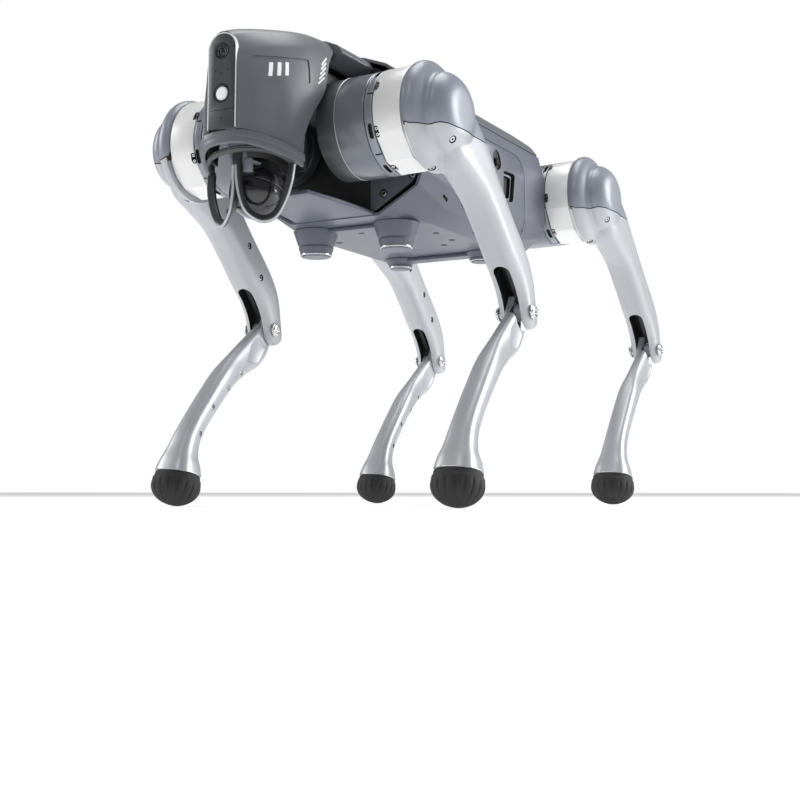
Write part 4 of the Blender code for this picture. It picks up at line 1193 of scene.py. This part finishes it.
def guard_ring_path():
    """The half ring under the collar that both hoops start from."""
    arc = []
    for step in range(49):
        angle = math.radians(-90 + 3.75 * step)
        share = math.cos(angle) ** 0.8 if 0 < step < 48 else 0.0
        arc.append((0.2800 + 0.0270 * share, 0.0420 * math.sin(angle), -0.0490 + 0.0120 * share))
    return arc


def band_bar(path, width, depth, lift=0.0):
    """A bar along a path, with its flat sides facing away from the sensor."""
    points = [Vector(place) for place in path]
    rings = []
    for index, point in enumerate(points):
        along = points[min(index + 1, len(points) - 1)] - points[max(index - 1, 0)]
        along.normalize()
        outward = point - LIDAR_CENTRE
        outward -= along * outward.dot(along)
        outward.normalize()
        across = along.cross(outward)
        ring = []
        for share_out, share_across in superellipse(depth / 2, width / 2, 5.0, 24):
            ring.append(point + outward * (share_out + lift) + across * share_across)
        rings.append(ring)
    return loft(rings)


def hoop_path(side):
    return [(x, side * y, z) for x, y, z in smooth_rows(HOOP, 5)]


def guard_bars():
    guard = solid(band_bar(guard_ring_path(), 0.0050, 0.0046))
    for side in (1, -1):
        join(guard, solid(band_bar(hoop_path(side), 0.0042, 0.0075)))
    return taken(guard)


def guard_highlights():
    """Pale strips on the outer faces of the guard's bars: painted highlights along the bars' edges."""
    bars = [solid(band_bar(guard_ring_path(), 0.0026, 0.0006, 0.0022))]
    for side in (1, -1):
        bars.append(solid(band_bar(hoop_path(side)[4:], 0.0022, 0.0006, 0.0036)))
    return merged([taken(bar) for bar in bars])


# Sections of the tub: x, height of its floor, half width of the floor, height where the flank turns in.
TUB_RINGS = (
    (-0.1450, -0.0590, 0.0720, -0.0355),
    (-0.0950, -0.0688, 0.0720, -0.0355),
    (0.0850, -0.0688, 0.0720, -0.0355),
    (0.1450, -0.0688, 0.0480, -0.0300),
)
# The keel plates before and behind the tub. Stations: x, half width, underside, top.
TONGUES = (
    (
        (0.1300, 0.0440, -0.0682, -0.0651), (0.1470, 0.0430, -0.0678, -0.0646),
        (0.1600, 0.0410, -0.0672, -0.0634), (HIP_X, 0.0370, -0.0660, -0.0620),
        (0.2400, 0.0300, -0.0650, -0.0610),
    ),
    (
        (-0.1300, 0.0180, -0.0622, -0.0580), (-0.1600, 0.0180, -0.0560, -0.0515),
        (-0.2000, 0.0180, -0.0490, -0.0445), (-0.2525, 0.0180, -0.0385, -0.0342),
    ),
)


def tub_corner(low, floor_half):
    """Height of the corner between the tub's flank and the slope down to its floor."""
    return low + 0.0130 + (0.0720 - floor_half) * 0.45


def tub_outline(low, floor_half, flank):
    return both_sides([
        (0.0885, 0.0462), (0.0935, 0.0250), (0.0950, 0.0100), (0.0950, flank),
        (0.0890, tub_corner(low, floor_half)), (floor_half, low),
    ])


def tub_hollow(low, floor_half, flank):
    return both_sides([
        (0.0835, 0.0600), (0.0905, 0.0250), (0.0920, 0.0095), (0.0920, flank + 0.0006),
        (0.0863, tub_corner(low, floor_half) + 0.0018), (floor_half - 0.0013, low + 0.0030),
    ])


BATTERY_CORNER = 0.020


def battery_outline(extra):
    """The battery's side: straight in front and with two large round corners behind."""
    back, front = -0.0900 - extra, 0.0050 + extra
    low, high = -0.0640 - extra, 0.0320 + extra
    outline = [(front, low), (front, high)]
    for start, middle in ((90, high - BATTERY_CORNER), (180, low + BATTERY_CORNER)):
        for step in range(13):
            angle = math.radians(start + 7.5 * step)
            across, up = BATTERY_CORNER * math.cos(angle), BATTERY_CORNER * math.sin(angle)
            outline.append((back + BATTERY_CORNER + across, middle + up))
    return outline


WALL_BOLTS = ((0.0538, -0.0489), (0.0845, -0.0345))
WALL_BOLT_SEAT = 0.1452


def front_wall():
    """The end plate behind each front hip, with two ringed bolts, in a darker copy of the tub's blue:
    painted shade on the tub's front end.
    """
    half = [
        (0.0400, 0.0050), (0.0895, 0.0050), (0.0903, -0.0275), (0.0842, -0.0400), (0.0445, -0.0638),
        (0.0400, -0.0638),
    ]
    meshes = []
    for side in (1, -1):
        outline = [(side * y, z) for y, z in soft(half, 0.0030)]
        wall = solid(prism("X", outline, 0.1446, 0.1460))
        cut(wall, bore("X", 0.1440, 0.1470, 0.0345, (side * HIP_Y, 0), 64))
        for y, z in WALL_BOLTS:
            cut(wall, bore("X", WALL_BOLT_SEAT, 0.1470, 0.0042, (side * y, z)))
        meshes.append(taken(wall))
    return merged(meshes)


def wall_bolts():
    ahead = (1, 0, 0)
    places = [(ahead, (WALL_BOLT_SEAT, side * y, z)) for side in (1, -1) for y, z in WALL_BOLTS]
    return bolts_at(0.0028, 0.0010, places)


def sensor_bracket():
    """The grey block in front of the sensor's dome, and the arm that holds it."""
    block = bevelled(solid(brick((0.2960, 0.0040, -0.0560), (0.3015, 0.0120, -0.0440))), 0.0012, 3)
    arm = bevelled(solid(brick((0.2700, 0.0050, -0.0475), (0.2980, 0.0110, -0.0445))), 0.0006)
    return taken(join(block, arm))


TUB_SLOTS = ((0.0928, -0.0470), (0.0532, -0.0475), (-0.0865, -0.0457))
FLOOR_SCREWS = (
    (0.0783, -0.0094), (0.0428, 0.0560), (0.0018, 0.0535), (-0.0193, 0.0338), (0.0428, -0.0560),
    (-0.1100, 0.0500),
)


def tongue_solid(tongue):
    """A keel plate as a solid, from its stations."""
    rings = []
    for x, half_width, low, high in smooth_rows(tongue, 4):
        rings.append([
            (x, -half_width, low), (x, half_width, low), (x, half_width, high), (x, -half_width, high),
        ])
    return bevelled(solid(loft(rings)), 0.0008, 2, 50)


def tub():
    """The trunk's lower shell with its keel plates, side slots, floor screws' seats and battery bay."""
    outer, hollow = [], []
    for x, *shape in TUB_RINGS:
        reach = 1.03 if abs(x) == TUB_HALF_LENGTH else 1.0
        outer.append([(x, y, z) for y, z in soft(tub_outline(*shape), 0.0022, 4)])
        hollow.append([(x * reach, y, z) for y, z in tub_hollow(*shape)])
    shell = cut(solid(loft(outer)), solid(loft(hollow), True))
    join(shell, *[tongue_solid(tongue) for tongue in TONGUES])
    for side in (1, -1):
        low, high = sorted((side * 0.0900, side * 0.1000))
        for x, z in TUB_SLOTS:
            slot = capsule((x - 0.0036, z - 0.0012), (x + 0.0036, z + 0.0012), 0.0017)
            cut(shell, solid(prism("Y", slot, low, high), True))
    for x, y in FLOOR_SCREWS:
        cut(shell, bore("Z", -0.08, -0.0676, 0.0034, (x, y)))
    return taken(cut(shell, solid(prism("Y", battery_outline(0.0006), 0.0500, 0.1100), True)))


def floor_bolts():
    down = (0, 0, -1)
    return bolts_at(0.0027, 0.0007, [(down, (x, y, -0.0675)) for x, y in FLOOR_SCREWS])


# Recesses in the battery's side, as (x, z): the grip's corners, and those of the leaf round the button.
GRIP = ((-0.0651, 0.0083), (-0.0354, 0.0073), (-0.0347, -0.0245), (-0.0591, -0.0230))
LEAF = (
    (-0.0300, 0.0200), (-0.0220, 0.0276), (-0.0110, 0.0200), (-0.0110, 0.0080), (-0.0205, 0.0030),
    (-0.0300, 0.0090),
)
BUTTON_PLACE = (-0.0205, 0.0130)


def battery():
    """The battery, whose side follows the tub's flank."""
    body = solid(prism("Y", battery_outline(0.0), -0.0400, 0.1000))
    skin = solid(prism("X", soft(tub_outline(*TUB_RINGS[1][1:]), 0.0022, 4), -0.11, 0.02))
    combine(body, skin, "INTERSECT")
    bevelled(body, 0.0006, 2, 50)
    handle = bevelled(solid(prism("Y", soft(GRIP, 0.0050, 5), 0.0885, 0.12), True), 0.0006, 2, 50)
    leaf = solid(prism("Y", soft(LEAF, 0.0050, 5), 0.0925, 0.12), True)
    hole = bore("Y", 0.0865, 0.12, 0.0045, BUTTON_PLACE, 48)
    return taken(cut(body, handle, leaf, hole))


def battery_frame():
    """The pale frame inside the grip recess."""
    outline = [(-0.0630, 0.0064), (-0.0372, 0.0056), (-0.0366, -0.0226), (-0.0577, -0.0213)]
    outer = solid(prism("Y", soft(outline, 0.0042, 5), 0.0880, 0.0915))
    middle = Vector((-0.0486, -0.0080))
    inner = [tuple(middle + (Vector(point) - middle) * 0.84) for point in outline]
    return taken(cut(outer, solid(prism("Y", soft(inner, 0.0036, 5), 0.08, 0.10), True)))


def cover():
    """The trunk's upper shell: the back, the neck and tail that run on from it, and the tail's end plate."""
    skin = both_sides([(0.0300, 0.0858), (0.0560, 0.0760), (0.0800, 0.0580), (0.0886, 0.0467)])
    inside = both_sides([
        (0.0290, 0.0830), (0.0545, 0.0733), (0.0778, 0.0560), (0.0855, 0.0455), (0.0855, 0.0300),
    ])
    neck = both_sides([(0.0240, 0.0852), (0.0380, 0.0790), (0.0430, 0.0715), (0.0270, 0.0625)])
    body = bevelled(solid(prism("X", soft(skin, 0.0035, 4), -0.1449, 0.1449)), 0.0010, 2, 60)
    join(body, bevelled(solid(prism("X", soft(neck, 0.0024, 4), -0.2614, 0.2029)), 0.0008, 2, 60))
    join(body, bevelled(solid(brick((-0.2619, -0.0360, -0.0335), (-0.2540, 0.0360, 0.0740))), 0.0030, 3))
    cut(body, solid(prism("X", inside, -0.1453, 0.1453), True))
    cut(body, solid(brick((-0.2535, -0.0230, 0.0500), (0.2130, 0.0230, 0.0790)), True))
    for x in (-0.0960, 0.0960):
        cut(body, solid(brick((x - 0.0004, -0.1, 0.0852), (x + 0.0004, 0.1, 0.1)), True))
    return taken(body)


TUB_UNDERSIDE = -0.0692


def landing_feet(x, spread, low, foot_radius, top_radius):
    """A pair of tapered feet under the tub, with the flat bridge between them."""
    top = TUB_UNDERSIDE
    bridge = bevelled(solid(brick((x - 0.009, -spread, top - 0.0036), (x + 0.009, spread, top))), 0.0006)
    waist = top + (low - top) * 0.6
    at_waist = top_radius + (foot_radius + 0.0012 - top_radius) * 0.72
    for side in (1, -1):
        profile = [
            (0, top), (top_radius, top), (at_waist + 0.0004, waist + 0.0012),
            (at_waist - 0.0006, waist + 0.0006), (at_waist - 0.0006, waist - 0.0002),
            (at_waist, waist - 0.0008), (foot_radius + 0.0012, low + 0.0030),
            (foot_radius + 0.0002, low + 0.0004), (foot_radius - 0.0020, low), (0, low),
        ]
        place = Matrix.Translation((x, side * spread, 0))
        join(bridge, solid(lathe("Z", profile, 72, 0.0004), False, place))
    return taken(bridge)


def landing_rings(x, spread, low, foot_radius):
    """The bright ring round each foot's sole."""
    meshes = []
    for side in (1, -1):
        profile = [
            (0, low + 0.0030), (foot_radius + 0.0016, low + 0.0030), (foot_radius + 0.0016, low + 0.0016),
            (foot_radius + 0.0008, low + 0.0012), (0, low + 0.0012),
        ]
        mesh = new_mesh(lathe("Z", profile, 72, 0.0003))
        mesh.transform(Matrix.Translation((x, side * spread, 0)))
        meshes.append(mesh)
    return merged(meshes)


# Each pair of landing feet: x, half the distance between them, height of the sole, radius of the sole.
FRONT_FEET = (0.1050, 0.0450, -0.0950, 0.0140)
REAR_FEET = (-0.0780, 0.0495, -0.0800, 0.0108)
FRONT_FOOT_TOP = 0.0225
REAR_FOOT_TOP = 0.0170


def build_trunk():
    """The trunk's pieces, which have one copy each."""
    front_feet = landing_feet(*FRONT_FEET, FRONT_FOOT_TOP)
    rear_feet = landing_feet(*REAR_FEET, REAR_FOOT_TOP)
    # Each row: piece, mesh, finish, body, CAD nodes it stands for.
    rows = (
        ("hood", hood(), "hood_slate", "trunk", ("head_hood",)),
        ("hood_mark", hood_mark(), "white_print", "trunk", ()),
        ("collar", collar(), "hood_slate", "trunk", ("chin_collar",)),
        ("face_strip", face_strip(), "panel_grey", "trunk", ("face_window",)),
        # painted highlight: the pale line round the face strip
        ("face_edge_highlight", face_edge_highlight(), "band_white", "trunk", ()),
        ("lens", camera_lens(), "gloss_black", "trunk", ("camera_lens",)),
        ("lamp_rim", headlamp_rim(), "gloss_black", "trunk", ("headlamp",)),
        ("lamp_disc", headlamp_disc(), "white_print", "trunk", ()),
        ("lidar_dome", lidar_dome(), "gloss_black", "lidar", ("lidar_rotor",)),
        ("guard_bars", guard_bars(), "guard_dark", "trunk", ("lidar_guard",)),
        ("sensor_bracket", sensor_bracket(), "light_blue", "trunk", ()),
        # painted highlights along the guard's bars
        ("guard_highlights", guard_highlights(), "guard_edge", "trunk", ()),
        ("tub", tub(), "tub_blue", "trunk", ("belly_tub",)),
        ("floor_bolts", floor_bolts(), "drum_dark", "trunk", ()),
        # painted shade on the tub's front end
        ("front_wall", front_wall(), "wall_painted_shade", "trunk", ()),
        ("wall_bolts", wall_bolts(), "steel", "trunk", ()),
        ("battery_case", battery(), "tub_blue", "battery", ("battery_pack",)),
        ("battery_frame", battery_frame(), "light_blue", "battery", ()),
        ("top_cover", cover(), "hood_slate", "trunk", ("back_cover",)),
        ("front_feet", front_feet, "tub_blue", "trunk", ("front_landing_feet",)),
        ("rear_feet", rear_feet, "tub_blue", "trunk", ("rear_landing_feet",)),
        ("front_foot_rings", landing_rings(*FRONT_FEET), "steel", "trunk", ()),
        ("rear_foot_rings", landing_rings(*REAR_FEET), "steel", "trunk", ()),
    )
    for name, mesh, finish, body, nodes in rows:
        piece(name, mesh, finish, body, TRUNK, nodes)


# CAD nodes that stay in view, and the finish of each kind.
CARRIED_OVER = {
    "chassis_frame": "frame_black",
    "main_board": "board_green",
    "power_button": "gloss_black",
    "lidar_mount": "frame_black",
    "hip_motor": "drum_dark",
    "knee_crank": "steel",
    "push_rod": "frame_black",
}


def paint_carried_over():
    """Finishes and slots for the CAD nodes that nothing replaces."""
    for name, node in frame["nodes"].items():
        kind = name if name in CARRIED_OVER else name[3:]
        if kind in CARRIED_OVER and not node.hide_render:
            node.data.materials.clear()
            node.data.materials.append(MATERIALS[CARRIED_OVER[kind]])


# Camera, lights and floor. The camera's place and axes are in the trunk's frame.

CAMERA_PLACE = Vector((1.20946, 0.64717, -0.32365))
CAMERA_RIGHT = Vector((-0.479875, 0.877337, 0.000507))
CAMERA_DOWN = Vector((-0.104462, -0.056564, -0.992919))
CAMERA_FORWARD = Vector((-0.871096, -0.476530, 0.118792))
# Focal length, and the point that the axis meets, as shares of the picture's width.
FOCAL_SHARE = 1.6725
CENTRE_SHARE = (0.492975, 0.4143)
SENSOR_WIDTH = 36.0


def place_camera():
    data = bpy.data.cameras.new("camera")
    data.sensor_width = SENSOR_WIDTH
    data.lens = FOCAL_SHARE * SENSOR_WIDTH
    data.shift_x = 0.5 - CENTRE_SHARE[0]
    data.shift_y = CENTRE_SHARE[1] - 0.5
    data.clip_start = 0.01
    camera = bpy.data.objects.new("camera", data)
    turn = Matrix((CAMERA_RIGHT, -CAMERA_DOWN, -CAMERA_FORWARD)).transposed()
    camera.matrix_world = Matrix.Translation(CAMERA_PLACE + TRUNK_ORIGIN) @ turn.to_4x4()
    bpy.context.scene.collection.objects.link(camera)
    bpy.context.scene.camera = camera


def area_light(name, place, target, size, power):
    data = bpy.data.lights.new(name, "AREA")
    data.shape = "RECTANGLE"
    data.size, data.size_y = size
    data.energy = power
    light = bpy.data.objects.new(name, data)
    light.location = place
    light.rotation_euler = (Vector(target) - Vector(place)).to_track_quat("-Z", "Y").to_euler()
    bpy.context.scene.collection.objects.link(light)


def white_surround(strength):
    """White where the camera sees it, and dimmer as a light."""
    world = bpy.data.worlds.new("studio")
    world.use_nodes = True
    tree = world.node_tree
    path = tree.nodes.new("ShaderNodeLightPath")
    level = tree.nodes.new("ShaderNodeMapRange")
    level.inputs["To Min"].default_value = strength
    level.inputs["To Max"].default_value = 1.0
    background = tree.nodes["Background"]
    background.inputs["Color"].default_value = (1.0, 1.0, 1.0, 1.0)
    tree.links.new(path.outputs["Is Camera Ray"], level.inputs["Value"])
    tree.links.new(level.outputs["Result"], background.inputs["Strength"])
    bpy.context.scene.world = world


FLOOR_GLOW = 0.45


def studio():
    """Soft lights round a pale floor, which glows a little so that it stays even."""
    bpy.context.scene.view_settings.view_transform = "Standard"
    white_surround(0.20)
    middle = (0.0, 0.0, 0.25)
    area_light("overhead", (-0.2, 0.1, 2.2), middle, (1.4, 1.2), 30.0)
    area_light("left_rim", (-1.5, 2.1, 1.1), middle, (1.3, 1.3), 62.0)
    area_light("right_rim", (0.9, -2.2, 1.2), middle, (1.2, 1.2), 30.0)
    area_light("front_top", (1.9, 0.2, 2.0), middle, (0.8, 0.8), 8.0)
    bm = bmesh.new()
    bmesh.ops.create_grid(bm, x_segments=1, y_segments=1, size=12.0)
    floor = bpy.data.objects.new("floor", new_mesh(bm, "floor"))
    bpy.context.scene.collection.objects.link(floor)
    floor.location = (0.0, 0.0, -0.0002)
    pale = make_finish("floor", (0.80, 0.80, 0.80), 0.7, 0.0, 0.01, 0.01, 60.0, 0.0)
    shader = pale.node_tree.nodes["Principled BSDF"]
    shader.inputs["Emission Color"].default_value = (1.0, 1.0, 1.0, 1.0)
    shader.inputs["Emission Strength"].default_value = FLOOR_GLOW
    floor.data.materials.append(pale)


build_legs()
build_trunk()
paint_carried_over()
place_camera()
studio()
